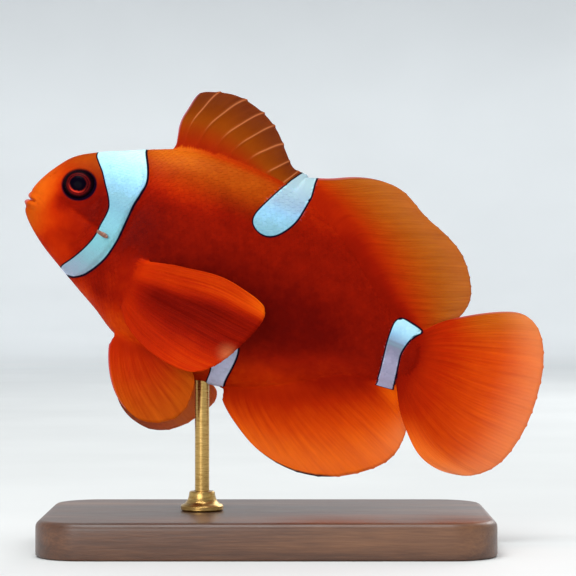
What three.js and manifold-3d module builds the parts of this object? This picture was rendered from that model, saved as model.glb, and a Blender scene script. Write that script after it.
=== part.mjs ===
// A young maroon clownfish, life size, swimming nose-up on a plain display stand.
// Millimetres. World axes: +X from head to tail, +Z up, the fish's left side faces -Y.
// The origin is the centre of the stand base's underside.
import * as THREE from "three";
import { mergeVertices } from "three/addons/utils/BufferGeometryUtils.js";
import Module from "manifold-3d";

const wasm = await Module();
wasm.setup();

// ---- Driving dimensions -------------------------------------------------------------------
const STANDARD_LENGTH = 52; // snout tip to the end of the backbone
const PITCH = THREE.MathUtils.degToRad(22); // nose up
const SNOUT = new THREE.Vector3(-30.5, 0, 43.2); // where the snout tip is held
const GAP = 0.3; // clearance between neighbouring pieces
const FIN_EDGE = 0.5; // thickness of a fin at its margin
const BODY_RINGS = 35; // mesh divisions from snout to tail
const BODY_SIDES = 28; // mesh divisions round the body

const BASE = { length: 56, width: 34, height: 4.5, corner: 6, bevel: 0.7 };
const ROD = { radius: 0.9, x: -8.2, topZ: 21.6, sunkInBase: 3 };
const COLLAR = { radius: 2.7, height: 2.2, lip: 0.5 };

// ---- The fish's own frame -----------------------------------------------------------------
// Shapes below are in hundredths of the standard length: a from the snout tip towards the tail,
// b up from the mouth, c out towards the fish's right side.
const UNIT = STANDARD_LENGTH / 100;
const SWAY = { start: 45, tipOffset: 4.2, tip: 134 }; // the tail swings gently to one side

function sway(a) {
  const reach = Math.max(0, a - SWAY.start) / (SWAY.tip - SWAY.start);
  return SWAY.tipOffset * reach * reach;
}

function inFish(a, b, c) {
  return new THREE.Vector3(a, c + sway(a), b).multiplyScalar(UNIT);
}

// A smooth curve through named points, evaluated from 0 to 1.
function curveThrough(points) {
  const vectors = points.map((p) => new THREE.Vector3(p[0], p[1], p[2] ?? 0));
  return new THREE.CatmullRomCurve3(vectors, false, "catmullrom", 0.5);
}

// ---- Body form ----------------------------------------------------------------------------
// Each station gives the back point, the belly point, and the level and half width of the widest
// line. Stations crowd together at the blunt snout, where the rings fan round it.
const STATIONS = [
  { back: [-0.1, 1.3], belly: [-0.1, 1.3], flank: [-0.1, 1.3, 0] },
  { back: [0.2, 3.5], belly: [0.2, -0.8], flank: [0.35, 1.3, 1.9] },
  { back: [1.2, 6.6], belly: [1.5, -2.9], flank: [1.7, 1.6, 3.5] },
  { back: [3.3, 10.5], belly: [4.3, -5.5], flank: [4.3, 2.2, 5.1] },
  { back: [6.6, 14.8], belly: [8.4, -8.4], flank: [8.0, 2.6, 6.9] },
  { back: [11.3, 17.9], belly: [13.4, -11.2], flank: [12.8, 3.0, 8.7] },
  { back: [17.5, 20.8], belly: [19.0, -14.2], flank: [18.6, 3.0, 10.2] },
  { back: [24.4, 24.0], belly: [25.2, -17.4], flank: [25.0, 2.6, 11.2] },
  { back: [32.0, 26.9], belly: [32.2, -21.4], flank: [32.0, 2.2, 11.5] },
  { back: [41.0, 28.4], belly: [40.8, -23.3], flank: [40.8, 2.0, 10.9] },
  { back: [51.0, 28.5], belly: [50.6, -24.6], flank: [50.8, 1.9, 9.7] },
  { back: [61.0, 27.2], belly: [60.6, -23.6], flank: [60.8, 1.6, 8.0] },
  { back: [71.0, 24.0], belly: [70.6, -20.4], flank: [70.8, 1.2, 6.1] },
  { back: [80.5, 18.7], belly: [80.0, -15.9], flank: [80.2, 0.8, 4.4] },
  { back: [88.5, 12.9], belly: [88.2, -11.6], flank: [88.4, 0.4, 3.1] },
  { back: [95.0, 8.9], belly: [95.0, -8.9], flank: [95.0, 0, 2.3] },
  { back: [99.6, 7.6], belly: [99.6, -7.7], flank: [99.8, 0, 1.9] },
  { back: [101.6, 5.6], belly: [101.6, -5.7], flank: [102.2, 0, 1.6] },
  { back: [103.2, 0], belly: [103.2, 0], flank: [103.2, 0, 0] },
];
const BACK = curveThrough(STATIONS.map((s) => s.back));
const BELLY = curveThrough(STATIONS.map((s) => s.belly));
const FLANK = curveThrough(STATIONS.map((s) => s.flank));
const KEEL = { back: 1.12, belly: 0.94 }; // above 1 pinches the section, below 1 fills it out

function bodyPoint(along, up, side) {
  const back = BACK.getPoint(along);
  const belly = BELLY.getPoint(along);
  const flank = FLANK.getPoint(along);
  const rim = up > 0 ? back : belly;
  const a = flank.x + (rim.x - flank.x) * Math.abs(up);
  const b = flank.y + (rim.y - flank.y) * Math.abs(up);
  const fullness = up > 0 ? KEEL.back : KEEL.belly;
  const c = Math.sign(side) * Math.max(0, flank.z) * Math.abs(side) ** fullness;
  return inFish(a, b, c);
}

function bodyGeometry() {
  const sphere = new THREE.SphereGeometry(1, BODY_SIDES, BODY_RINGS);
  const p = sphere.attributes.position;
  for (let i = 0; i < p.count; i++) {
    const ring = new THREE.Vector2(p.getZ(i), p.getX(i));
    const radius = ring.length();
    const along = Math.acos(THREE.MathUtils.clamp(p.getY(i), -1, 1)) / Math.PI;
    const up = radius > 1e-9 ? ring.x / radius : 0;
    const side = radius > 1e-9 ? ring.y / radius : 0;
    p.setXYZ(i, ...bodyPoint(along, up, side));
  }
  return sphere;
}

// ---- Solids -------------------------------------------------------------------------------
function merged(geometry) {
  const bare = geometry.clone();
  bare.deleteAttribute("normal");
  bare.deleteAttribute("uv");
  return mergeVertices(bare, 1e-4);
}

function solid(geometry) {
  const g = merged(geometry);
  const triVerts = new Uint32Array(g.index.array);
  const vertProperties = g.attributes.position.array;
  const made = new wasm.Manifold(new wasm.Mesh({ numProp: 3, vertProperties, triVerts }));
  if (made.volume() > 0) return made;
  for (let i = 0; i < triVerts.length; i += 3) {
    [triVerts[i], triVerts[i + 1]] = [triVerts[i + 1], triVerts[i]];
  }
  return new wasm.Manifold(new wasm.Mesh({ numProp: 3, vertProperties, triVerts }));
}

// The same shape, swollen by a distance along its vertex normals.
function swollen(geometry, distance) {
  const g = merged(geometry);
  g.computeVertexNormals();
  const p = g.attributes.position;
  const n = g.attributes.normal;
  for (let i = 0; i < p.count; i++) {
    const out = new THREE.Vector3().fromBufferAttribute(n, i).multiplyScalar(distance);
    p.setXYZ(i, ...new THREE.Vector3().fromBufferAttribute(p, i).add(out));
  }
  return g;
}

function geometryOf(shape) {
  const m = shape.getMesh();
  const g = new THREE.BufferGeometry();
  const vertices = new Float32Array(m.numVert * 3);
  for (let i = 0; i < m.numVert; i++) {
    vertices.set(m.vertProperties.subarray(i * m.numProp, i * m.numProp + 3), i * 3);
  }
  g.setAttribute("position", new THREE.BufferAttribute(vertices, 3));
  g.setIndex(new THREE.BufferAttribute(m.triVerts, 1));
  return g;
}

function largestPiece(shape) {
  return shape.decompose().reduce((best, s) => (s.volume() > best.volume() ? s : best));
}

// A side-view outline moved outwards by a distance, corners kept sharp.
function spread(outline, distance) {
  const turn = Math.sign(THREE.ShapeUtils.area(outline.map((p) => new THREE.Vector2(...p))));
  const at = (i) => new THREE.Vector2(...outline[(i + outline.length) % outline.length]);
  return outline.map((_, i) => {
    const before = at(i).sub(at(i - 1)).normalize();
    const after = at(i + 1).sub(at(i)).normalize();
    const normal = before.clone().add(after).normalize();
    const reach = distance / Math.max(0.5, normal.dot(before));
    return [at(i).x + turn * normal.y * reach, at(i).y - turn * normal.x * reach];
  });
}

// A side-view outline pushed sideways through the body from one c to another.
function prism(outline, from, to) {
  const shape = new THREE.Shape(outline.map((p) => new THREE.Vector2(...p)));
  const g = new THREE.ExtrudeGeometry(shape, { depth: 1, bevelEnabled: false, steps: 1 });
  const p = g.attributes.position;
  for (let i = 0; i < p.count; i++) {
    p.setXYZ(i, ...inFish(p.getX(i), p.getY(i), from + (to - from) * p.getZ(i)));
  }
  return solid(g);
}

// ---- The body and its parts ---------------------------------------------------------------
const bodyShape = bodyGeometry();
const body = solid(bodyShape);
const bodyWithGap = solid(swollen(bodyShape, GAP));
const cut = GAP / UNIT; // the gap in hundredths of the standard length
const WIDE = 40; // sideways reach that passes right through the fish

const COVER_MARGIN = curveThrough([
  [21.6, 20.2],
  [25.1, 17.2],
  [25.7, 12.8],
  [24.7, 7.0],
  [24.3, 1.0],
  [22.6, -5.0],
  [18.8, -11.8],
]);
const COVER_HINGE = curveThrough([
  [15.2, -10.2],
  [17.8, -5.4],
  [18.6, 1.0],
  [18.4, 8.0],
  [18.9, 14.6],
]);
const flat = (curve, count) => curve.getPoints(count).map((p) => [p.x, p.y]);

const headOutline = [[-10, 50], [21.0, 50], [21.0, 22], ...flat(COVER_MARGIN, 14), [15.5, -20], [-10, -20]];
const coverOutline = [...flat(COVER_MARGIN, 14), ...flat(COVER_HINGE, 8)];
const jawOutline = [[-5, 1.2], [1.2, 1.35], [3.6, 1.0], [5.0, -1.6], [7.2, -6.2], [8.2, -12], [-5, -12]];
const tailStemOutline = [[90.5, 30], [86.5, 6], [86.5, -4], [90.5, -30], [120, -30], [120, 30]];
const COVER_DEPTH = 4.5; // the gill covers' inner faces stand this far from the middle plane

const EYE = { a: 10.6, b: 9.0, halfLength: 4.15, halfHeight: 3.75, halfDepth: 2.9, proud: 1.15 };
const SPINE = { from: [15.6, 1.3], to: [21.9, -0.7], radius: 0.75, sunk: 0.9, lift: 1.5 };

// Where a sideways line at (a, b) leaves the body on one side, and the way that skin faces.
function skinAt(a, b, side) {
  const from = inFish(a, b, side * WIDE);
  const mesh = new THREE.Mesh(bodyShape, new THREE.MeshBasicMaterial({ side: THREE.DoubleSide }));
  const hit = new THREE.Raycaster(from, new THREE.Vector3(0, -side, 0)).intersectObject(mesh)[0];
  return { point: hit.point, facing: hit.face.normal.clone() };
}

function eyeGeometry(side, extra) {
  const skin = skinAt(EYE.a, EYE.b, side);
  const facing = skin.facing.lerp(new THREE.Vector3(0, side, 0), 0.5).normalize();
  const ball = new THREE.SphereGeometry(1, 16, 10);
  ball.rotateX(Math.PI / 2);
  ball.scale(EYE.halfLength * UNIT + extra, EYE.halfHeight * UNIT + extra, EYE.halfDepth * UNIT + extra);
  const along = new THREE.Vector3(1, 0, 0);
  const up = new THREE.Vector3().crossVectors(facing, along).normalize();
  along.crossVectors(up, facing);
  ball.applyMatrix4(new THREE.Matrix4().makeBasis(along, up, facing));
  const centre = skin.point.addScaledVector(facing, (EYE.proud - EYE.halfDepth) * UNIT);
  return ball.translate(...centre);
}

function spineGeometry(side, extra) {
  const root = skinAt(...SPINE.from, side);
  const tip = skinAt(...SPINE.to, side);
  const start = root.point.addScaledVector(root.facing, -SPINE.sunk * UNIT);
  const end = tip.point.addScaledVector(tip.facing, SPINE.lift * UNIT);
  const axis = end.clone().sub(start);
  const tipRadius = SPINE.radius * 0.25;
  const cone = new THREE.CylinderGeometry(
    tipRadius * UNIT + extra,
    SPINE.radius * UNIT + extra,
    axis.length() + 2 * extra,
    8,
  );
  cone.applyQuaternion(new THREE.Quaternion().setFromUnitVectors(new THREE.Vector3(0, 1, 0), axis.normalize()));
  return cone.translate(...start.add(end).multiplyScalar(0.5));
}

const sides = { left: -1, right: 1 };
const parts = {};

let head = body.intersect(prism(headOutline, -WIDE, WIDE));
const jawBlock = prism(jawOutline, -WIDE, WIDE);
parts.lower_jaw = body.intersect(jawBlock);
head = head.subtract(prism(spread(jawOutline, cut), -WIDE, WIDE));
for (const [name, side] of Object.entries(sides)) {
  const eye = solid(eyeGeometry(side, 0));
  const spine = solid(spineGeometry(side, 0));
  const spineRoom = solid(spineGeometry(side, GAP));
  const cover = prism(coverOutline, side * COVER_DEPTH, side * WIDE);
  const coverRoom = prism(spread(coverOutline, cut), side * (COVER_DEPTH - cut), side * WIDE);
  parts["gill_cover_" + name] = largestPiece(body.intersect(cover).subtract(spineRoom));
  head = head.subtract(coverRoom).subtract(spineRoom).subtract(solid(eyeGeometry(side, GAP)));
  parts["eye_" + name] = eye;
  parts["cheek_spine_" + name] = spine;
}
parts.head = largestPiece(head);

const tailStem = prism(tailStemOutline, -WIDE, WIDE);
parts.tail_stem = body.intersect(tailStem);
const behindHead = body.subtract(prism(spread(headOutline, cut), -WIDE, WIDE));
parts.trunk = behindHead.subtract(prism(spread(tailStemOutline, cut), -WIDE, WIDE));

// ---- Fins ---------------------------------------------------------------------------------
// A fin is a thin plate inside four lines: its root, hidden in the body, its front ray, the edge
// that joins the tips of its rays, and its rear ray. It thins from root to edge.
// lean(along, out, a) gives how far it stands sideways from the middle plane.
function finSurface({ root, front, edge, rear, lean }) {
  const rootLine = curveThrough(root);
  const frontLine = curveThrough([root[0], ...front]);
  const edgeLine = curveThrough([front.at(-1), ...edge, rear.at(-1)]);
  const rearLine = curveThrough([root.at(-1), ...rear]);
  const corner = (line, end) => line.getPoint(end);
  return (along, out) => {
    const point = new THREE.Vector3()
      .addScaledVector(rootLine.getPoint(along), 1 - out)
      .addScaledVector(edgeLine.getPoint(along), out)
      .addScaledVector(frontLine.getPoint(out), 1 - along)
      .addScaledVector(rearLine.getPoint(out), along)
      .addScaledVector(corner(rootLine, 0), -(1 - along) * (1 - out))
      .addScaledVector(corner(rootLine, 1), -along * (1 - out))
      .addScaledVector(corner(edgeLine, 0), -(1 - along) * out)
      .addScaledVector(corner(edgeLine, 1), -along * out);
    return point.setZ(lean(along, out, point.x));
  };
}

function finGeometry(fin) {
  const surface = finSurface(fin);
  const plate = new THREE.BoxGeometry(1, 1, 1, fin.columns, fin.rows, 1);
  const p = plate.attributes.position;
  const step = 0.01;
  for (let i = 0; i < p.count; i++) {
    const along = p.getX(i) + 0.5;
    const out = p.getY(i) + 0.5;
    const here = surface(along, out);
    const ahead = surface(Math.min(1, along + step), out).sub(surface(Math.max(0, along - step), out));
    const outer = surface(along, Math.min(1, out + step)).sub(surface(along, Math.max(0, out - step)));
    const normal = ahead.cross(outer).normalize();
    const thickness = THREE.MathUtils.lerp(fin.rootThickness, FIN_EDGE, Math.min(1, out * 1.4)) / UNIT;
    here.addScaledVector(normal, p.getZ(i) * thickness);
    p.setXYZ(i, ...inFish(here.x, here.y, here.z));
  }
  return plate;
}

const upright = () => 0;
const FINS = {
  dorsal_fin_spiny: {
    root: [[29.8, 21.5], [37, 23], [47, 24], [59.6, 22.5]],
    front: [[27.9, 31.0], [29.6, 39.6]],
    edge: [[33.2, 42.7], [38.5, 43.6], [45.0, 42.3], [50.2, 39.4], [54.2, 35.2], [57.2, 32.4]],
    rear: [[60.2, 30.6]],
    lean: upright,
    rootThickness: 1.3,
    columns: 18,
    rows: 5,
  },
  dorsal_fin_soft: {
    root: [[61.2, 22.5], [74, 18.5], [86, 11], [95.5, 6.2]],
    front: [[61.0, 30.8], [65.6, 32.6], [70.8, 35.4], [77.4, 37.0]],
    edge: [[84.0, 36.0], [90.6, 32.8], [97.6, 31.2], [103.4, 28.0], [107.6, 22.6], [109.2, 17.8]],
    rear: [[101.6, 9.8], [108.0, 14.6]],
    lean: upright,
    rootThickness: 1.5,
    columns: 18,
    rows: 6,
  },
  anal_fin: {
    root: [[63.0, -19.5], [74, -15.5], [86, -9.2], [94.5, -6]],
    front: [[61.0, -23.6], [63.4, -27.4], [68.8, -31.4], [74.8, -34.4]],
    edge: [[83.4, -36.0], [92.2, -34.6], [99.8, -30.2], [104.8, -24.2], [105.9, -18.4]],
    rear: [[99.4, -8.9], [103.6, -12.8]],
    lean: upright,
    rootThickness: 1.4,
    columns: 16,
    rows: 6,
  },
  caudal_fin: {
    root: [[98.2, 3.6], [97.5, 0], [98.2, -3.6]],
    front: [[103.4, 9.2], [110.0, 14.6], [117.0, 18.6], [122.6, 19.8]],
    edge: [[127.2, 17.4], [131.2, 10.6], [133.6, 1.6], [133.4, -7.2], [130.4, -15.2], [125.6, -19.8]],
    rear: [[103.8, -11.2], [109.2, -17.4], [114.2, -20.4], [119.6, -21.6]],
    lean: upright,
    rootThickness: 1.0,
    columns: 18,
    rows: 6,
  },
};

// The pelvic fins hang apart from the belly; the right one is swung further back and open.
const PELVIC_ROOT = [[32.6, -19.6], [37, -20.3], [41.5, -20.7]];
const pelvicLean = (side, splay) => (along, out) => side * (2.5 + splay * out * (0.75 + 0.5 * along));
const PELVICS = {
  pelvic_fin_left: {
    root: PELVIC_ROOT,
    front: [[31.6, -23.0], [34.0, -29.2], [37.4, -33.8], [41.2, -36.4]],
    edge: [[46.2, -37.8], [51.6, -35.8], [55.0, -31.0]],
    rear: [[47.5, -21.8], [54.6, -25.2]],
    lean: pelvicLean(sides.left, 5.2),
    rootThickness: 0.9,
    columns: 13,
    rows: 6,
  },
  pelvic_fin_right: {
    root: PELVIC_ROOT,
    front: [[32.0, -23.6], [34.6, -30.0], [38.4, -36.0], [42.8, -39.0]],
    edge: [[49.2, -40.0], [55.0, -36.8], [59.2, -31.0]],
    rear: [[49.5, -21.8], [60.4, -25.8]],
    lean: pelvicLean(sides.right, 4.6),
    rootThickness: 0.9,
    columns: 13,
    rows: 6,
  },
};

// A pectoral fin fans back from behind the gill cover, cupped between its upper and lower rays.
const PECTORAL = {
  root: [[29.6, -3.0], [30.2, -8.2], [31.6, -13.4]],
  front: [[36.0, -1.0], [43.0, 0.2], [51.0, 1.4], [57.6, 0.4], [63.0, -1.2]],
  edge: [[64.4, -4.6], [62.2, -10.8], [58.8, -17.4]],
  rear: [[33.8, -17.0], [39.4, -20.6], [47.0, -22.4], [53.8, -21.8]],
  rootThickness: 1.0,
  columns: 14,
  rows: 6,
};
const PECTORAL_POSE = { rootDepth: 8.6, lowerDrop: 2.9, flare: 3.6, flareLength: 5, splay: 0.19, cup: 2.6 };
const pectoralLean = (side) => (along, out, a) => {
  const behindRoot = Math.max(0, a - PECTORAL.root[0][0]);
  const root = PECTORAL_POSE.rootDepth - PECTORAL_POSE.lowerDrop * along * along * (1 - out);
  const flare = PECTORAL_POSE.flare * Math.min(1, behindRoot / PECTORAL_POSE.flareLength);
  const cup = PECTORAL_POSE.cup * Math.sin(Math.PI * along) * out;
  return side * (root + flare + PECTORAL_POSE.splay * behindRoot - cup);
};

const finShapes = { ...FINS, ...PELVICS };
for (const [name, side] of Object.entries(sides)) {
  finShapes["pectoral_fin_" + name] = { ...PECTORAL, lean: pectoralLean(side) };
}
for (const [name, fin] of Object.entries(finShapes)) {
  parts[name] = largestPiece(solid(finGeometry(fin)).subtract(bodyWithGap));
}

// ---- Display stand ------------------------------------------------------------------------
function standBase() {
  const half = { x: BASE.length / 2 - BASE.bevel, y: BASE.width / 2 - BASE.bevel };
  const r = BASE.corner - BASE.bevel;
  const outline = new THREE.Shape();
  outline.moveTo(half.x, half.y - r);
  outline.absarc(half.x - r, half.y - r, r, 0, Math.PI / 2);
  outline.absarc(r - half.x, half.y - r, r, Math.PI / 2, Math.PI);
  outline.absarc(r - half.x, r - half.y, r, Math.PI, 1.5 * Math.PI);
  outline.absarc(half.x - r, r - half.y, r, 1.5 * Math.PI, 2 * Math.PI);
  return new THREE.ExtrudeGeometry(outline, {
    depth: BASE.height - 2 * BASE.bevel,
    bevelThickness: BASE.bevel,
    bevelSize: BASE.bevel,
    bevelSegments: 1,
    curveSegments: 6,
  }).translate(0, 0, BASE.bevel);
}

function rodGeometry(extra) {
  const bottom = BASE.height - ROD.sunkInBase - extra;
  const length = ROD.topZ + extra - bottom;
  const rod = new THREE.CylinderGeometry(ROD.radius + extra, ROD.radius + extra, length, 14);
  return rod.rotateX(Math.PI / 2).translate(ROD.x, 0, bottom + length / 2);
}

function collarGeometry() {
  const inner = ROD.radius + GAP;
  const foot = BASE.height + GAP;
  const profile = [
    [inner, foot],
    [COLLAR.radius, foot],
    [COLLAR.radius, foot + COLLAR.lip],
    [COLLAR.radius * 0.72, foot + COLLAR.height * 0.45],
    [inner + 0.45, foot + COLLAR.height],
    [inner, foot + COLLAR.height],
    [inner, foot],
  ].map((p) => new THREE.Vector2(...p));
  return new THREE.LatheGeometry(profile, 18).rotateX(Math.PI / 2).translate(ROD.x, 0, 0);
}

// ---- Scene graph --------------------------------------------------------------------------
const material = (color, roughness, metalness = 0) =>
  new THREE.MeshStandardMaterial({ color, roughness, metalness });
const SKIN = material(0xa8260c, 0.45);
const FACE = material(0xe0560e, 0.45);
const FIN = material(0xd8600f, 0.4);
const SPINE_BONE = material(0x8a5a3c, 0.5);
const EYE_BLACK = material(0x140a0c, 0.1);
const WALNUT = material(0x4a2c1a, 0.5);
const BRASS = material(0xb08d4a, 0.3, 1);

function finishOf(name) {
  if (name.includes("fin")) return FIN;
  if (name.startsWith("eye")) return EYE_BLACK;
  if (name.startsWith("cheek")) return SPINE_BONE;
  if (name === "head" || name === "lower_jaw") return FACE;
  return SKIN;
}

const fish = new THREE.Group();
fish.position.copy(SNOUT);
fish.rotation.y = PITCH;
fish.updateMatrixWorld(true);

const rodRoom = rodGeometry(GAP);
rodRoom.applyMatrix4(fish.matrixWorld.clone().invert());
parts.trunk = largestPiece(parts.trunk.subtract(solid(rodRoom)));
for (const [name, shape] of Object.entries(parts)) {
  const mesh = new THREE.Mesh(geometryOf(shape), finishOf(name));
  mesh.name = name;
  fish.add(mesh);
}

const stand = new THREE.Group();
const drilledBase = geometryOf(solid(standBase()).subtract(solid(rodGeometry(GAP))));
const standParts = {
  stand_base: [drilledBase, WALNUT],
  stand_collar: [collarGeometry(), BRASS],
  stand_rod: [rodGeometry(0), BRASS],
};
for (const [name, [geometry, finish]] of Object.entries(standParts)) {
  const mesh = new THREE.Mesh(geometry, finish);
  mesh.name = name;
  stand.add(mesh);
}

const clownfish = new THREE.Group();
clownfish.add(fish, stand);
export default clownfish;
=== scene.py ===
"""A young maroon clownfish as a life-size museum model on a small walnut and brass stand.

The fish is shaped in a frame of its own, in hundredths of its length, and turned nose-up into
place at the end. One closed skin covers body and fins. Scales lie over it as solid plates, and
skin and scales take their markings, and the light and shade painted into them, from the same
function.
"""

import math

import bmesh
import bpy
import numpy as np
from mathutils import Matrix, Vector

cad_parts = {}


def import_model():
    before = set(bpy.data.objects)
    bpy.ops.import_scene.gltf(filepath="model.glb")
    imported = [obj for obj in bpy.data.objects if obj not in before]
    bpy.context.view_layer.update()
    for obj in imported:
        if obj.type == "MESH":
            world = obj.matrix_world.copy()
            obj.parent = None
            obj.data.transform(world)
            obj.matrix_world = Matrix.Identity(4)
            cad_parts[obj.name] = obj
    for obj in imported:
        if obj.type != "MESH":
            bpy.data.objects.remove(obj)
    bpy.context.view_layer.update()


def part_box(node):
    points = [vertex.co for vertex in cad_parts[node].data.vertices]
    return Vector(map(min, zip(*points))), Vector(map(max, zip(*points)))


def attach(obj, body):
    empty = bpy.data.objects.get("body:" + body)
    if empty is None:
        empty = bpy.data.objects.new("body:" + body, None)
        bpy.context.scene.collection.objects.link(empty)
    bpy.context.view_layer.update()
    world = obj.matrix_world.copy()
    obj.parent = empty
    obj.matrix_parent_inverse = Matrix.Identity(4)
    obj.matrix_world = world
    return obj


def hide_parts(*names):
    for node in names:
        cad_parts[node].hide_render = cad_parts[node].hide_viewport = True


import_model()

MM = 0.001
UNIT = 0.52 * MM  # a hundredth of the standard length
PITCH = math.radians(22)  # nose up
COAT = 0.16  # hundredths of the standard length from the skin to the tips of the scales

ROD_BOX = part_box("stand_rod")
BASE_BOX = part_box("stand_base")
ROD_X = (ROD_BOX[0][0] + ROD_BOX[1][0]) / 2
SNOUT_AHEAD, SNOUT_UP = 22.3 * MM, 38.7 * MM  # from the rod's axis, and from the base's top
SNOUT = (ROD_X - SNOUT_AHEAD, 0.0, BASE_BOX[1][2] + SNOUT_UP)
BOTH_SIDES = (("left", -1), ("right", 1))


# ---- Small helpers --------------------------------------------------------------------------
def smooth(low, high, value):
    t = np.clip((np.asarray(value, float) - low) / (high - low), 0, 1)
    return t * t * (3 - 2 * t)


def bump(distance, width):
    return np.exp(-((distance / width) ** 2))


def mix(a, b, t):
    return a + (b - a) * t


def between(p0, p1, p2, p3, f):
    """The point a share f of the way from p1 to p2, on a smooth curve through all four."""
    m1, m2 = (p2 - p0) / 2, (p3 - p1) / 2
    return p1 + f * m1 + f**2 * (3 * p2 - 3 * p1 - 2 * m1 - m2) + f**3 * (2 * p1 - 2 * p2 + m1 + m2)


def curve_through(points):
    """A smooth curve through the points, evaluated from 0 to 1."""
    given = np.array(points, float)
    padded = np.vstack([2 * given[0] - given[1], given, 2 * given[-1] - given[-2]])

    def at(t):
        t = np.clip(np.asarray(t, float), 0, 1) * (len(given) - 1)
        i = np.minimum(t.astype(int), len(given) - 2)
        return between(*(padded[i + k] for k in range(4)), (t - i)[..., None])

    return at


def line_distance(a, b, curve, samples=40):
    """Signed distance from side-view points to a line, and how far along it the nearest point is.

    The distance is positive on the left-hand side of the line, looking along it.
    """
    line = curve(np.linspace(0, 1, samples))[:, :2]
    start, step = line[:-1], np.diff(line, axis=0)
    shape = np.shape(a)
    a, b = np.ravel(a), np.ravel(b)
    best = np.full(a.shape, 1e9)
    side, where = np.zeros(a.shape), np.zeros(a.shape)
    for k in range(len(step)):
        da, db = a - start[k, 0], b - start[k, 1]
        t = np.clip((da * step[k, 0] + db * step[k, 1]) / step[k].dot(step[k]), 0, 1)
        gap = np.hypot(da - t * step[k, 0], db - t * step[k, 1])
        nearer = gap < best
        best = np.where(nearer, gap, best)
        side = np.where(nearer, np.sign(step[k, 0] * db - step[k, 1] * da), side)
        where = np.where(nearer, (k + t) / len(step), where)
    return (best * side).reshape(shape), where.reshape(shape)


def outline_distance(a, b, outline, fine=6):
    """Distance to a closed, rounded outline, negative inside it, and the way out of it along a."""
    ring = np.array(outline, float)
    n = len(ring)
    padded = np.vstack([ring[-1], ring, ring[:2]])
    four = [padded[k : k + n] for k in range(4)]
    line = np.stack([between(*four, f) for f in np.linspace(0, 1, fine, endpoint=False)], 1).reshape(-1, 2)
    ahead = np.roll(line, -1, axis=0)
    shape = np.shape(a)
    a, b = np.ravel(a), np.ravel(b)
    best, outward = np.full(a.shape, 1e9), np.zeros(a.shape)
    inside = np.zeros(a.shape, bool)
    for (a0, b0), (a1, b1) in zip(line, ahead):
        sa, sb = a1 - a0, b1 - b0
        t = np.clip(((a - a0) * sa + (b - b0) * sb) / (sa * sa + sb * sb), 0, 1)
        ga, gb = a - a0 - t * sa, b - b0 - t * sb
        gap = np.hypot(ga, gb)
        nearer = gap < best
        best = np.where(nearer, gap, best)
        outward = np.where(nearer, ga / np.maximum(gap, 1e-9), outward)
        crosses = ((b0 > b) != (b1 > b)) & (a < a0 + (b - b0) * sa / (sb if sb else 1e-9))
        inside ^= crosses
    outward = np.where(inside, -outward, outward)
    return np.where(inside, -best, best).reshape(shape), outward.reshape(shape)


# ---- The fish's own frame -------------------------------------------------------------------
# a runs from the snout tip to the tail, b up from the mouth, c out to the fish's right side,
# all in hundredths of the standard length.
SWAY = {"from": 45, "to": 134, "aside": 4.2}  # the tail swings to the fish's right


def world(points):
    a, b, c = points[..., 0], points[..., 1], points[..., 2]
    reach = np.clip(a - SWAY["from"], 0, None) / (SWAY["to"] - SWAY["from"])
    x = SNOUT[0] + UNIT * (a * math.cos(PITCH) + b * math.sin(PITCH))
    y = UNIT * (c + SWAY["aside"] * reach**2)
    z = SNOUT[2] + UNIT * (b * math.cos(PITCH) - a * math.sin(PITCH))
    return np.stack([x, y, z], -1)


STATIONS = [  # back point, belly point, and the level and half width of the widest line
    ((-0.1, 1.3), (-0.1, 1.3), (-0.1, 1.3, 0)),
    ((0.2, 3.5), (0.2, -0.8), (0.35, 1.3, 1.9)),
    ((1.2, 6.6), (1.5, -2.9), (1.7, 1.6, 3.5)),
    ((3.3, 10.5), (4.3, -5.5), (4.3, 2.2, 5.1)),
    ((6.6, 14.8), (8.4, -8.4), (8.0, 2.6, 6.9)),
    ((11.3, 17.9), (13.4, -11.2), (12.8, 3.0, 8.7)),
    ((17.5, 20.8), (19.0, -14.2), (18.6, 3.0, 10.2)),
    ((24.4, 24.0), (25.2, -17.4), (25.0, 2.6, 11.2)),
    ((32.0, 26.9), (32.2, -21.4), (32.0, 2.2, 11.5)),
    ((41.0, 28.4), (40.8, -23.3), (40.8, 2.0, 10.9)),
    ((51.0, 28.5), (50.6, -24.6), (50.8, 1.9, 9.7)),
    ((61.0, 27.2), (60.6, -23.6), (60.8, 1.6, 8.0)),
    ((71.0, 24.0), (70.6, -20.4), (70.8, 1.2, 6.1)),
    ((80.5, 18.7), (80.0, -15.9), (80.2, 0.8, 4.4)),
    ((88.5, 12.9), (88.2, -11.6), (88.4, 0.4, 3.1)),
    ((95.0, 8.9), (95.0, -8.9), (95.0, 0, 2.3)),
    ((99.6, 7.6), (99.6, -7.7), (99.8, 0, 1.9)),
    ((101.6, 5.6), (101.6, -5.7), (102.2, 0, 1.6)),
    ((103.2, 0), (103.2, 0), (103.2, 0, 0)),
]
BACK = curve_through([s[0] for s in STATIONS])
BELLY = curve_through([s[1] for s in STATIONS])
FLANK = curve_through([s[2] for s in STATIONS])
KEEL = {"back": 1.12, "belly": 0.94}  # how fast the body narrows: above 1 it is sharper


def hull(along, round_):
    """The smooth body: along runs 0 to 1 from snout to tail, round_ turns from the back."""
    along, round_ = np.broadcast_arrays(along, round_)
    flank, up, side = FLANK(along), np.cos(round_), np.sin(round_)
    rim = np.where((up > 0)[..., None], BACK(along), BELLY(along))
    lift = np.abs(up)
    a = mix(flank[..., 0], rim[..., 0], lift)
    b = mix(flank[..., 1], rim[..., 1], lift)
    keel = np.where(up > 0, KEEL["back"], KEEL["belly"])
    c = np.sign(side) * np.maximum(0, flank[..., 2]) * np.abs(side) ** keel
    return np.stack([a, b, c], -1)


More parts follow.
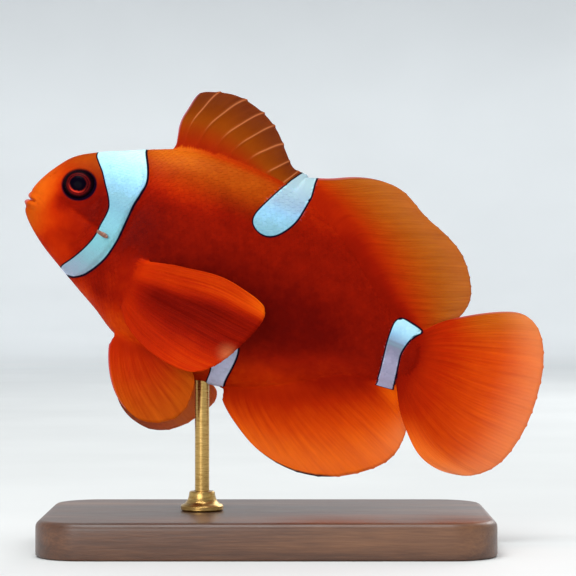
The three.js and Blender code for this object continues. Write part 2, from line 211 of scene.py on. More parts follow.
def hull_facing(along, round_):
    """The way the body's surface faces."""
    along = np.clip(along, 0.006, 0.994)
    ahead = hull(along + 0.002, round_) - hull(along - 0.002, round_)
    turn = hull(along, round_ + 0.01) - hull(along, round_ - 0.01)
    out = np.cross(turn, ahead)
    out /= np.linalg.norm(out, axis=-1, keepdims=True)
    middle = FLANK(along) * (1, 1, 0)
    flip = np.sign(np.sum(out * (hull(along, round_) - middle), -1, keepdims=True))
    return out * np.where(flip == 0, 1, flip)


# ---- Relief of the skin ---------------------------------------------------------------------
COVER_MARGIN = curve_through(
    [(21.4, 20.0), (24.4, 17.6), (25.7, 14.2), (25.3, 10.4), (24.6, 6.6), (24.4, 1.5), (22.9, -3.8),
     (21.2, -7.9), (18.9, -11.4), (17.0, -13.0)]
)
CHEEK_MARGIN = curve_through([(16.6, 12.0), (17.8, 7.0), (17.7, 1.5), (16.2, -4.0), (12.6, -8.0)])
CHEEK_RIDGE = curve_through([(5.4, 5.0), (8.5, 3.9), (11.8, 3.0), (15.8, 1.9), (19.7, 0.9)])
LIP_FOLD = curve_through([(0.4, 3.0), (2.1, 2.5), (3.6, 2.0), (4.9, 1.2), (5.4, 0.0)])
JAW_CREASE = curve_through([(2.9, 1.5), (3.8, 0.4), (4.4, -1.6), (5.4, -3.8)])
PECTORAL_BASE = curve_through([(29.4, -2.4), (29.8, -7.6), (31.2, -13.6)])
MOUTH_LEVEL = 1.42
NOSTRILS = ((4.3, 9.3), (3.5, 8.3))
EYE_SITE = (10.6, 9.0)


def find_on_body(a, b, side):
    """The body's own coordinates for a side-view point on one flank."""
    along = np.linspace(0.01, 0.99, 260)[:, None]
    round_ = side * np.linspace(0.02, math.pi - 0.02, 260)[None, :]
    points = hull(along, round_)
    miss = np.hypot(points[..., 0] - a, points[..., 1] - b)
    i, j = np.unravel_index(np.argmin(miss), miss.shape)
    return along[i, 0], round_[0, j]


def own_frame(place):
    """A world point in the fish's own frame."""
    x, y, z = (np.array(place) - SNOUT) / UNIT
    return np.array([x * math.cos(PITCH) - z * math.sin(PITCH), x * math.sin(PITCH) + z * math.cos(PITCH), y])


def eye_axes():
    """The right eye's middle and the ways it looks, lies and stands, in the fish's own frame."""
    low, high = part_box("eye_right")
    look = hull_facing(*map(np.array, find_on_body(*EYE_SITE, 1))) * 0.5 + np.array([0, 0, 0.5])
    look /= np.linalg.norm(look)
    ahead = np.array([1.0, 0, 0])
    up = np.cross(ahead, look) * -1
    up /= np.linalg.norm(up)
    ahead = np.cross(up, look)
    middle = (own_frame(low) + own_frame(high)) / 2 + (0.5, 0, 0.15)
    return middle, look, ahead * np.sign(ahead[0]), up * np.sign(up[1])


EYE_SIZE = {"length": 4.15, "height": 3.75, "depth": 2.9}
EYE_MIDDLE, EYE_LOOK, EYE_AHEAD, EYE_UP = eye_axes()


def eye_reach(points):
    """1 on the rim of the eyeball, seen along its own axis."""
    away = points * (1, 1, 0) + np.abs(points) * (0, 0, 1) - EYE_MIDDLE
    return np.hypot(away @ EYE_AHEAD / EYE_SIZE["length"], away @ EYE_UP / EYE_SIZE["height"])


def relief(points):
    """How far the skin stands out from the smooth body."""
    a, b = points[..., 0], points[..., 1]
    height = np.zeros_like(a)

    # The gill cover's raised rear margin, and the groove behind it.
    gap, t = line_distance(a, b, COVER_MARGIN)
    gap = -gap  # positive on the gill cover
    fade = smooth(0, 0.12, t) * (1 - smooth(0.88, 1, t))
    cover = smooth(-0.25, 0.25, gap) * np.exp(-np.maximum(gap, 0) / 2.6)
    height += fade * (0.16 * cover - 0.55 * bump(gap + 0.55, 0.5) - 0.2 * bump(gap + 0.9, 1.4))

    # The cheek plate's rear margin, and the ridge of bone below the eye.
    gap, t = line_distance(a, b, CHEEK_MARGIN)
    fade = smooth(0, 0.25, t) * (1 - smooth(0.75, 1, t))
    height += fade * (-0.2 * bump(gap, 0.4) - 0.08 * smooth(-0.2, 0.4, gap) * bump(gap, 2.2))
    gap, t = line_distance(a, b, CHEEK_RIDGE)
    fade = smooth(0, 0.2, t) * (1 - smooth(0.94, 1, t))
    height -= fade * (0.2 * smooth(-0.3, 0.3, -gap) * np.exp(-np.abs(gap) / 1.6))

    # The mouth: its slit, the lips and the folds round them.
    gap, t = line_distance(a, b, JAW_CREASE)
    height -= 0.16 * bump(gap, 0.3) * smooth(0, 0.2, t) * (1 - smooth(0.6, 1, t))
    level = b - (MOUTH_LEVEL - 0.05 * a)
    near_mouth = 1 - smooth(2.5, 3.6, a)
    slit = -0.95 * bump(level, 0.3) * (1 - smooth(1.6, 3.0, a))
    lips = 0.08 * bump(level - 0.95, 0.45) + 0.34 * bump(level + 1.0, 0.5)
    folds = -0.16 * bump(level - 1.9, 0.4) - 0.24 * bump(level + 2.2, 0.6)
    height += near_mouth * (slit + lips + folds)
    gap, t = line_distance(a, b, LIP_FOLD)
    height -= 0.14 * bump(gap, 0.28) * smooth(0, 0.2, t) * (1 - smooth(0.7, 1, t))

    # The eye's socket with its lid, the nostrils, and the swelling under the pectoral fin.
    reach = eye_reach(points)
    height -= 0.7 * (1 - smooth(0.92, 1.13, reach))
    height += 0.12 * bump(reach - 1.17, 0.07) - 0.1 * bump(reach - 1.34, 0.08)
    for nostril in NOSTRILS:
        rim = np.hypot(a - nostril[0], b - nostril[1])
        height += 0.1 * bump(rim - 0.42, 0.14) - 0.35 * bump(rim, 0.26)
    gap, t = line_distance(a, b, PECTORAL_BASE)
    height += 0.12 * bump(gap, 1.5) * smooth(0, 0.2, t) * (1 - smooth(0.8, 1, t))
    return height


def skin(along, round_, lift=0.0):
    """A point of the skin raised by lift, the way it faces, and its place on the smooth body."""
    base = hull(along, round_)
    out = hull_facing(along, round_)
    height = relief(base) - COAT + lift
    return base + out * height[..., None], out, base


# ---- Markings, and the light and shade painted into them ------------------------------------
BARS = {
    "head": {
        "outline": [
            (12.0, 17.8), (13.3, 16.0), (15.2, 14.1), (17.0, 11.7), (18.6, 9.6), (19.6, 8.0), (20.2, 6.4),
            (20.2, 4.4), (19.9, 2.2), (19.7, -0.2), (19.2, -2.3), (17.9, -5.3), (16.2, -8.2), (14.3, -10.8),
            (13.8, -12.6), (15.0, -12.5), (16.6, -12.3), (18.3, -11.9), (19.7, -11.0), (20.8, -9.7),
            (21.9, -8.1), (23.1, -5.9), (23.8, -4.0), (24.3, -1.7), (24.7, 1.0), (24.9, 5.4), (25.1, 9.3),
            (25.6, 12.5), (25.8, 15.7), (24.6, 19.0), (22.4, 22.8), (22.0, 26.0), (16.0, 26.0), (12.0, 22.0),
        ],
        "front": 0.3, "rear": 0.5,
    },
    "middle": {
        "outline": [
            (56.6, 26.9), (58.2, 29.8), (60.6, 33.0), (63.0, 33.8), (63.2, 30.8), (63.5, 27.4), (63.2, 23.8),
            (62.5, 20.3), (60.9, 17.2), (58.9, 15.1), (56.9, 14.4), (54.8, 14.8), (53.2, 16.2), (53.0, 18.4),
            (54.4, 22.1),
        ],
        "front": 0.3, "rear": 0.4,
    },
    "belly": {
        "outline": [
            (57.4, -26.0), (57.0, -20.6), (56.2, -16.4), (57.2, -13.6), (59.2, -12.4), (60.8, -12.8),
            (61.4, -14.6), (61.4, -17.4), (61.0, -21.4), (60.9, -26.0),
        ],
        "front": 0.3, "rear": 0.45,
    },
    "tail": {
        "outline": [
            (94.3, 7.6), (95.4, 8.2), (97.8, 7.9), (100.7, 7.1), (100.0, 6.1), (98.9, 4.5), (98.2, 2.3),
            (97.9, 0.0), (98.3, -2.6), (98.8, -5.3), (99.3, -8.2), (99.5, -11.4), (95.5, -11.4), (95.3, -8.4),
            (95.0, -5.4), (94.4, -1.4), (93.9, 2.2), (93.8, 6.0),
        ],
        "front": 0.3, "rear": 0.4,
    },
}
NO_BAR = 20.0


def bar_value(a, b, names=tuple(BARS)):
    """Below 0 inside a white bar, 0 to 1 across its dark edge, more than 1 beyond."""
    value = np.full(np.shape(a), NO_BAR)
    for bar in map(BARS.get, names):
        gap, outward = outline_distance(a, b, bar["outline"])
        edge = mix(bar["front"], bar["rear"], smooth(-0.3, 0.3, outward))
        value = np.minimum(value, gap / edge)
    return value


# The ground tone is partly the fish's own colour and partly painted light and shade: a painted highlight
# along the back and nape, and painted shade on the flank.
GLOWS = [  # where the ground colour changes: middle, reach along and up, turn, brightness
    ("back", (40, 26), (34, 7), -4, 0.56),
    ("nape", (29, 25), (10, 8), 0, 0.76),
    ("below the nape", (33, 18), (13, 5.5), -6, 0.5),
    ("behind the middle bar", (69, 24), (9, 5), -15, 0.42),
    ("belly before the bar", (54, -21), (7, 4), 0, 0.6),
    ("front of the flank", (30, 4), (9, 10), 0, 0.2),
    ("middle of the flank", (52, -2), (26, 12), 0, 0.22),
    ("flank below the bar", (72, -2), (20, 10), 0, 0.17),
    ("rear belly", (68, -19), (22, 7), 12, 0.56),
    ("tail stem", (92, 0), (9, 12), 0, 0.28),
    ("above the anal fin", (84, -10), (14, 5), 12, 0.4),
    ("shoulder", (30, -8), (6, 8), 0, 0.4),
    ("throat", (21.5, -15.5), (6, 3.6), -40, 0.6),
    ("breast", (33, -19), (12, 5.5), -8, 0.64),
    ("head", (10, 0), (11, 22), 0, 0.44),
    ("jaw", (12, -8), (6, 4), -40, 0.56),
    ("brow", (6, 11), (5, 5), 45, 0.52),
    ("chin", (4.5, -4), (4.5, 9), -50, 0.65),
    ("snout", (3, 4), (5, 9), -8, 0.76),
    ("forehead", (10, 16.5), (8, 4.5), 35, 0.5),
    ("below the eye", (9.5, 3.8), (3, 2.6), 0, 0.36),
    ("cheek behind the eye", (17, 8), (3.6, 6), 0, 0.32),
]


def ground_tone(a, b):
    """Brightness of the ground colour, from 0 for maroon to 1 for bright orange, with painted light on the
    back and nape and painted shade on the flank in it.
    """
    tone = np.full(np.shape(a), 0.31)
    for _, (a0, b0), (ra, rb), turn, bright in GLOWS:
        c, s = math.cos(math.radians(turn)), math.sin(math.radians(turn))
        u, v = (a - a0) * c + (b - b0) * s, (b - b0) * c - (a - a0) * s
        weight = 1 - smooth(0.15, 1.25, np.hypot(u / ra, v / rb))
        tone = mix(tone, bright, weight)
    ridge, _ = line_distance(a, b, CHEEK_RIDGE)
    cheek = smooth(-0.3, 0.5, ridge) * smooth(4.5, 16.5, a) * (1 - smooth(19, 24, a)) * (1 - smooth(6, 14, b))
    return mix(tone, 0.22, 0.95 * cheek)


def markings(points, bars=tuple(BARS)):
    """The values that skin and scales both carry: their markings, and the light and shade painted into them.
    """
    a, b = points[..., 0], points[..., 1]
    bar = bar_value(a, b, bars)
    socket = 0.5 + 4.3 * np.maximum(0, eye_reach(points) - 0.96)  # as dark as a bar's edge
    # Lip colour at the very tip of the snout, partly a painted highlight along the profile.
    lip_tint_and_highlight = bump(b - MOUTH_LEVEL + 0.3, 1.2) * (1 - smooth(0.2, 1.1, a))
    near_tail = smooth(88, 92, a)
    # Painted shade in the white bars: the tail bar's lower part and the middle bar's folded top are dimmed
    # towards a lilac grey.
    painted_bar_shade = near_tail * (0.1 + 0.5 * (1 - smooth(1.5, 5.5, b)))
    # Painted light on the white bars: lighter and bluer towards the back, greyer towards the belly, as light
    # from above falls on them.
    height = (b + 14) / 36 - 0.006 * np.clip(a - 25, 0, 40) + near_tail * (0.62 * smooth(0.8, 2.8, b) - 0.08)
    painted_bar_shade += 0.5 * smooth(19, 24, b) * smooth(48, 54, a) * (1 - smooth(70, 75, a))
    behind_head = smooth(14, 24, a)
    back = 0.6 * smooth(0, 9, b - mix(8, 15, behind_head)) * (1 - smooth(50, 66, a))
    back *= 1 - 0.6 * smooth(26.2, 28.2, b) * smooth(26, 32, a)
    return {
        "Bar": np.minimum(bar, socket),
        "Tone": ground_tone(a, b),
        "Amber": mix(back, 0.4, 1 - smooth(2, 8, a)),
        "Pale": np.zeros_like(a),
        "BlushAndPaintedLight": 0.6 * lip_tint_and_highlight + painted_bar_shade * (bar < 0.2),
        "Height": np.clip(height, 0, 1),
        "Clear": np.zeros_like(a),
    }


# ---- Mesh helpers ---------------------------------------------------------------------------
def new_piece(name, mesh, *materials):
    mesh.name = name
    piece = bpy.data.objects.new(name, mesh)
    bpy.context.scene.collection.objects.link(piece)
    for finish in materials:
        mesh.materials.append(finish)
    return piece


def mesh_from(bm, name):
    mesh = bpy.data.meshes.new(name)
    bm.to_mesh(mesh)
    bm.free()
    return mesh


def corners(bm):
    return np.array([v.co[:] for v in bm.verts])


def move_corners(bm, places):
    for v, place in zip(bm.verts, places):
        v.co = place
    bm.normal_update()  # the way outwards is judged from these


def write_values(mesh, values):
    for name, numbers in values.items():
        layer = mesh.attributes.get(name) or mesh.attributes.new(name, "FLOAT", "POINT")
        layer.data.foreach_set("value", np.ascontiguousarray(numbers, dtype=np.float32).ravel())


def write_uv(mesh, name, per_corner):
    layer = mesh.uv_layers.get(name) or mesh.uv_layers.new(name=name)
    loops = np.empty(len(mesh.loops), dtype=np.int32)
    mesh.loops.foreach_get("vertex_index", loops)
    layer.data.foreach_set("uv", np.ascontiguousarray(per_corner[loops], dtype=np.float32).ravel())


def shade_smooth(mesh):
    mesh.polygons.foreach_set("use_smooth", np.ones(len(mesh.polygons), dtype=bool))


def evaluated_mesh(piece):
    depsgraph = bpy.context.evaluated_depsgraph_get()
    return bpy.data.meshes.new_from_object(piece.evaluated_get(depsgraph))


# ---- Materials ------------------------------------------------------------------------------
def paint(red, green, blue):
    """A colour from its 0 to 255 values on a screen, in the shader's linear terms."""
    def linear(v):
        v /= 255
        return v / 12.92 if v <= 0.04045 else ((v + 0.055) / 1.055) ** 2.4

    return (linear(red), linear(green), linear(blue), 1.0)


def node(tree, kind, sockets=None, **settings):
    made = tree.nodes.new(kind)
    for key, value in settings.items():
        setattr(made, key, value)
    for key, value in (sockets or {}).items():
        if isinstance(value, bpy.types.NodeSocket):
            tree.links.new(value, made.inputs[key])
        else:
            made.inputs[key].default_value = value
    return made


def blend(tree, amount, first, second):
    return node(tree, "ShaderNodeMix", {0: amount, 6: first, 7: second}, data_type="RGBA").outputs[2]


def maths(tree, operation, *values):
    return node(tree, "ShaderNodeMath", dict(enumerate(values)), operation=operation).outputs[0]


def step(tree, value, low, high):
    made = node(tree, "ShaderNodeMapRange", {"Value": value, "From Min": low, "From Max": high},
                interpolation_type="SMOOTHSTEP")
    return made.outputs["Result"]


def ramp(tree, value, stops):
    made = node(tree, "ShaderNodeValToRGB", {"Fac": value})
    elements = made.color_ramp.elements
    while len(elements) < len(stops):
        elements.new(0.5)
    for element, (place, colour) in zip(elements, stops):
        element.position, element.color = place, colour
    return made.outputs["Color"]


def noise(tree, vector, scale, detail=3.0, roughness=0.55):
    made = node(tree, "ShaderNodeTexNoise",
                {"Vector": vector, "Scale": scale, "Detail": detail, "Roughness": roughness})
    return made.outputs["Fac"]


def material(name, **settings):
    made = bpy.data.materials.new(name)
    made.use_nodes = True
    tree = made.node_tree
    tree.nodes.clear()
    output = node(tree, "ShaderNodeOutputMaterial")
    bsdf = node(tree, "ShaderNodeBsdfPrincipled")
    tree.links.new(bsdf.outputs["BSDF"], output.inputs["Surface"])
    for socket, value in settings.items():
        bsdf.inputs[socket.replace("_", " ")].default_value = value
    return made, tree, bsdf


def group(name, inputs, outputs):
    made = bpy.data.node_groups.new(name, "ShaderNodeTree")
    for label, kind in inputs:
        made.interface.new_socket(label, in_out="INPUT", socket_type=kind)
    for label, kind in outputs:
        made.interface.new_socket(label, in_out="OUTPUT", socket_type=kind)
    return made, node(made, "NodeGroupInput"), node(made, "NodeGroupOutput")


FLOAT, COLOUR = "NodeSocketFloat", "NodeSocketColor"


def make_colour_group():
    """The fish's colours, from the values that its pieces carry."""
    values = ("Tone", "Amber", "Pale", "BlushAndPaintedLight", "Bar", "Height", "Mottle")
    tree, given, put = group("fish colours", [(v, FLOAT) for v in values], [("Color", COLOUR)])
    at = {v: given.outputs[v] for v in values}
    mottled = maths(tree, "MULTIPLY_ADD", maths(tree, "SUBTRACT", at["Mottle"], 0.5), 0.16, at["Tone"])
    ground = ramp(tree, mottled, [
        (0.0, paint(62, 3, 3)), (0.2, paint(104, 8, 2)), (0.38, paint(142, 20, 3)),
        (0.55, paint(178, 38, 3)), (0.75, paint(212, 70, 6)), (1.0, paint(246, 106, 8)),
    ])
    tan = ramp(tree, mottled, [
        (0.15, paint(98, 38, 4)), (0.5, paint(150, 72, 8)), (0.9, paint(200, 114, 24)),
    ])
    amber = blend(tree, at["Amber"], ground, tan)
    pale = blend(tree, at["Pale"], amber, paint(246, 150, 92))
    # Lilac-pink for the lips and for the painted highlight along the fins' first rays.
    tint_and_rim_highlight = blend(tree, at["BlushAndPaintedLight"], pale, paint(196, 128, 144))
    line = maths(tree, "SUBTRACT", 1.0, step(tree, at["Bar"], 0.75, 1.35))
    inked = blend(tree, line, tint_and_rim_highlight, paint(13, 4, 22))
    lit = maths(tree, "MULTIPLY_ADD", maths(tree, "SUBTRACT", at["Mottle"], 0.5), 0.12, at["Height"])
    # The white bars' colour by height is painted light and shade: pale blue-white high up, grey lower down,
    # and the lowest stop is painted light on the bars' lowest ends.
    lit_white = ramp(tree, lit, [
        (0.0, paint(206, 208, 236)), (0.08, paint(150, 162, 182)), (0.2, paint(132, 168, 180)),
        (0.33, paint(126, 183, 192)), (0.49, paint(131, 187, 200)), (0.6, paint(124, 172, 190)),
        (0.68, paint(132, 178, 194)), (0.78, paint(150, 202, 234)), (1.0, paint(200, 250, 250)),
    ])
    # Inside a bar the blush value carries painted shade instead, dimming the white towards a lilac grey.
    white = blend(tree, at["BlushAndPaintedLight"], lit_white, paint(124, 106, 134))
    inside = maths(tree, "SUBTRACT", 1.0, step(tree, at["Bar"], -0.4, 0.2))
    tree.links.new(blend(tree, inside, inked, white), put.inputs["Color"])
    return tree


COLOURS = make_colour_group()
CARRIED = ("Tone", "Amber", "Pale", "BlushAndPaintedLight", "Bar", "Height")


def fish_colour(tree, mottle):
    placed = node(tree, "ShaderNodeGroup", node_tree=COLOURS)
    for name in CARRIED:
        value = node(tree, "ShaderNodeAttribute", attribute_name=name)
        tree.links.new(value.outputs["Fac"], placed.inputs[name])
    tree.links.new(mottle, placed.inputs["Mottle"])
    return placed.outputs["Color"]


def object_place(tree):
    return node(tree, "ShaderNodeTexCoord").outputs["Object"]


def connect_bump(tree, bsdf, height, distance):
    made = node(tree, "ShaderNodeBump", {"Height": height, "Distance": distance, "Strength": 1.0})
    tree.links.new(made.outputs["Normal"], bsdf.inputs["Normal"])


def make_skin_material():
    made, tree, bsdf = material("fish skin", Subsurface_Weight=0.1, Subsurface_Scale=0.0005,
                                Coat_Weight=0.006, Coat_Roughness=0.2, Specular_IOR_Level=0.006)
    place = object_place(tree)
    mottle = noise(tree, place, 900.0, 4.0)
    pores = noise(tree, place, 5200.0, 2.0)
    tree.links.new(fish_colour(tree, mottle), bsdf.inputs["Base Color"])
    rough = maths(tree, "MULTIPLY_ADD", pores, 0.18, 0.36)
    tree.links.new(rough, bsdf.inputs["Roughness"])
    height = maths(tree, "ADD", maths(tree, "MULTIPLY", mottle, 0.5), maths(tree, "MULTIPLY", pores, 0.3))
    connect_bump(tree, bsdf, height, 0.00004)
    return made


def make_fin_material():
    made, tree, bsdf = material("fish fin", Subsurface_Weight=0.1, Subsurface_Scale=0.0005,
                                Coat_Weight=0.006, Coat_Roughness=0.3, Specular_IOR_Level=0.006)
    rays = node(tree, "ShaderNodeUVMap", uv_map="Rays").outputs["UV"]
    split = node(tree, "ShaderNodeSeparateXYZ", {"Vector": rays})
    across, out = split.outputs["X"], split.outputs["Y"]
    stretched = node(tree, "ShaderNodeCombineXYZ", {
        "X": maths(tree, "MULTIPLY", across, 3.2), "Y": maths(tree, "MULTIPLY", out, 1.7)})
    streak = noise(tree, stretched.outputs["Vector"], 1.0, 4.0, 0.65)
    soft = noise(tree, object_place(tree), 500.0, 3.0)
    strength = maths(tree, "MULTIPLY_ADD", step(tree, out, 0.1, 0.7), 2.0, 0.5)
    mottle = maths(tree, "MULTIPLY_ADD", maths(tree, "SUBTRACT", streak, 0.5), strength,
                   maths(tree, "MULTIPLY_ADD", soft, 0.6, 0.2))
    tree.links.new(fish_colour(tree, mottle), bsdf.inputs["Base Color"])
    tree.links.new(maths(tree, "MULTIPLY_ADD", soft, 0.2, 0.38), bsdf.inputs["Roughness"])
    clear = node(tree, "ShaderNodeAttribute", attribute_name="Clear").outputs["Fac"]
    tree.links.new(maths(tree, "SUBTRACT", 1.0, clear), bsdf.inputs["Alpha"])
    fine = maths(tree, "SINE", maths(tree, "MULTIPLY", across, 8 * math.pi))
    joints = maths(tree, "SINE", maths(tree, "MULTIPLY", out, 150.0))
    texture = maths(tree, "ADD", maths(tree, "MULTIPLY", fine, 0.3),
                    maths(tree, "ADD", maths(tree, "MULTIPLY", joints, 0.08), streak))
    height = maths(tree, "MULTIPLY", texture, step(tree, out, 0.12, 0.6))
    connect_bump(tree, bsdf, height, 0.00003)
    return made


def make_scale_material():
    made, tree, bsdf = material("fish scales", Coat_Weight=0.008, Coat_Roughness=0.2,
                                Specular_IOR_Level=0.01, Subsurface_Weight=0.06, Subsurface_Scale=0.0004)
    chance = node(tree, "ShaderNodeAttribute", attribute_name="Chance").outputs["Fac"]
    mottle = noise(tree, object_place(tree), 700.0, 4.0)
    plate = node(tree, "ShaderNodeUVMap", uv_map="Plate").outputs["UV"]
    split = node(tree, "ShaderNodeSeparateXYZ", {"Vector": plate})
    side = maths(tree, "ABSOLUTE", maths(tree, "SUBTRACT", split.outputs["X"], 0.5))
    far = maths(tree, "POWER", split.outputs["Y"], 3.0)
    edge = maths(tree, "MAXIMUM", maths(tree, "MULTIPLY", side, 1.6), far)
    # Painted shade on each scale's sides and rear edge, and painted light on its middle.
    shade = maths(tree, "MULTIPLY_ADD", step(tree, edge, 0.55, 1.0), -0.2, 0.09)
    own = maths(tree, "MULTIPLY_ADD", chance, 0.24, -0.12)
    total = maths(tree, "ADD", maths(tree, "ADD", mottle, shade), own)
    tree.links.new(fish_colour(tree, total), bsdf.inputs["Base Color"])
    tree.links.new(maths(tree, "MULTIPLY_ADD", chance, 0.12, 0.34), bsdf.inputs["Roughness"])
    rings = maths(tree, "SINE", maths(tree, "MULTIPLY", edge, 44.0))
    connect_bump(tree, bsdf, maths(tree, "ADD", maths(tree, "MULTIPLY", rings, 0.12), mottle), 0.00001)
    return made


# ---- Body skin ------------------------------------------------------------------------------
SIDES, RINGS = 216, 240
SKIN = make_skin_material()
FIN = make_fin_material()
SCALES = make_scale_material()


def make_body():
    bm = bmesh.new()
    bmesh.ops.create_uvsphere(bm, u_segments=SIDES, v_segments=RINGS, radius=1)
    ball = corners(bm)
    along = np.arccos(np.clip(ball[:, 2], -1, 1)) / math.pi
    round_ = np.arctan2(ball[:, 1], ball[:, 0])
    places, _, base = skin(along, round_)
    move_corners(bm, world(places))
    bmesh.ops.recalc_face_normals(bm, faces=bm.faces[:])
    mesh = mesh_from(bm, "body")
    write_values(mesh, markings(base))
    write_uv(mesh, "Rays", np.zeros((len(mesh.vertices), 2)))
    return new_piece("body", mesh, SKIN, FIN)


# ---- Fins -----------------------------------------------------------------------------------
EASE = 0.4  # how far along the outline, in its own points, a corner is eased
EASING = ((-1, 0.16), (-0.5, 0.22), (0, 0.24), (0.5, 0.22), (1, 0.16))


def outline_curves(fin):
    """The first ray, the margin and the last ray of a fin, as stretches of one smooth outline."""
    before, across = len(fin["front"]), len(fin["edge"]) + 1
    points = [fin["root"][0], *fin["front"], *fin["edge"], *fin["rear"][::-1], fin["root"][-1]]
    whole, last = curve_through(points), len(points) - 1
    ease = fin.get("ease", EASE) / last

    def stretch(start, end):
        def at(t):
            place = (start + (end - start) * np.asarray(t, float)) / last
            room = np.minimum(ease, np.minimum(place, 1 - place))
            return sum(whole(place + room * k) * w for k, w in EASING)

        return at

    return stretch(0, before), stretch(before, before + across), stretch(last, before + across)


def fin_patch(fin):
    """A fin's middle surface, between its root, its first ray, its margin and its last ray."""
    root = curve_through(fin["root"])
    front, edge, rear = outline_curves(fin)

    def at(u, v):
        u, v = np.broadcast_arrays(np.clip(u, 0, 1), np.clip(v, 0, 1))
        s, t = u[..., None], v[..., None]
        flat = (1 - t) * root(u) + t * edge(u) + (1 - s) * front(v) + s * rear(v)
        flat = flat - (1 - s) * (1 - t) * root(0.0) - s * (1 - t) * root(1.0)
        flat = flat - (1 - s) * t * edge(0.0) - s * t * edge(1.0)
        return np.stack([flat[..., 0], flat[..., 1], fin["lean"](u, v, flat[..., 0])], -1)

    return at


def upright(u, v, a):
    return np.zeros_like(u)


def overlapping(amount):
    """A fin on the mid line whose rear lobe stands a little aside, clear of the tail."""
    return lambda u, v, a: -amount * smooth(0.55, 1, u) * smooth(0.1, 0.6, v)


def pelvic_lean(side, splay):
    return lambda u, v, a: side * (2.5 + splay * v * (0.75 + 0.5 * u))


def pectoral_lean(side):
    def lean(u, v, a):
        behind = np.maximum(0, a - 29.6)
        root = 8.6 - 2.9 * u * u * (1 - v)
        return side * (root + 3.6 * np.minimum(1, behind / 5) + 0.19 * behind - 2.6 * np.sin(math.pi * u) * v)

    return lean


def raked(amount):
    return lambda q, v: q + amount * np.sin(math.pi * q) * v


SPINE_ROOTS = [0, 0.09, 0.22, 0.36, 0.48, 0.6, 0.74, 0.85, 0.94, 1]
SPINE_TIPS = [0, 0.165, 0.33, 0.445, 0.54, 0.66, 0.79, 0.9, 0.96, 1]


def spiny_rays(q, v):
    places = np.linspace(0, 1, len(SPINE_ROOTS))
    root, tip = np.interp(q, places, SPINE_ROOTS), np.interp(q, places, SPINE_TIPS)
    return mix(root, tip, v**1.6)


def fin_tone(middle, margin, start=0.3, leaves=(0.05, 0.35)):
    """Ground brightness over a fin, from the body's own through its middle to its margin."""
    return lambda q, v, ground: mix(mix(ground, middle, smooth(*leaves, v)), margin, smooth(start, 1, v))


def anal_tone(q, v, ground):
    """As dark as the belly near its root, but for its rear end, and bright at the margin."""
    tone = mix(mix(ground - 0.04, 0.5, smooth(0.04, 0.4, v)), 1.0, smooth(0.2, 1, v))
    return tone + 0.36 * smooth(0.72, 0.94, q) * smooth(0.04, 0.2, v) * (1 - smooth(0.4, 0.8, v))


def caudal_tone(q, v, ground):
    """Bright at the margin, and earlier so on its lowest rays."""
    tone = mix(mix(ground, 0.5, smooth(0, 0.3, v)), 0.86, smooth(0.15, 1, v))
    return tone + 0.34 * smooth(0.76, 1, q) * smooth(0.15, 0.6, v)


def far_pelvic_shaded_tone(q, v, ground):
    """Dark along its first rays, where painted shade lies, and bright on its last ones."""
    return mix(ground, mix(0.24, 1.0, smooth(0.05, 0.6, q)), smooth(0.02, 0.2, v))


def pectoral_light_and_shade(q, v, ground):
    """Painted light and shade of the cupped fin: bright along its lit upper and lower rays, painted shade in
    the hollow between them.
    """
    spread = 0.12 * smooth(0.2, 0.9, v)
    upper, lower = 1 - smooth(0.26 - spread, 0.48 - spread, q), smooth(0.42 + spread, 0.86, q)
    root = 0.4 + 0.16 * upper + 0.06 * lower
    lit_bands = 0.2 + 0.1 * smooth(0.4, 0.9, v) + 0.38 * upper + 0.28 * lower
    tip = 0.2 * smooth(0.75, 1, v) * (1 - smooth(0.1, 0.26, q))
    return mix(mix(ground, root, smooth(0.02, 0.1, v)), lit_bands, smooth(0.1, 0.34, v)) + tip


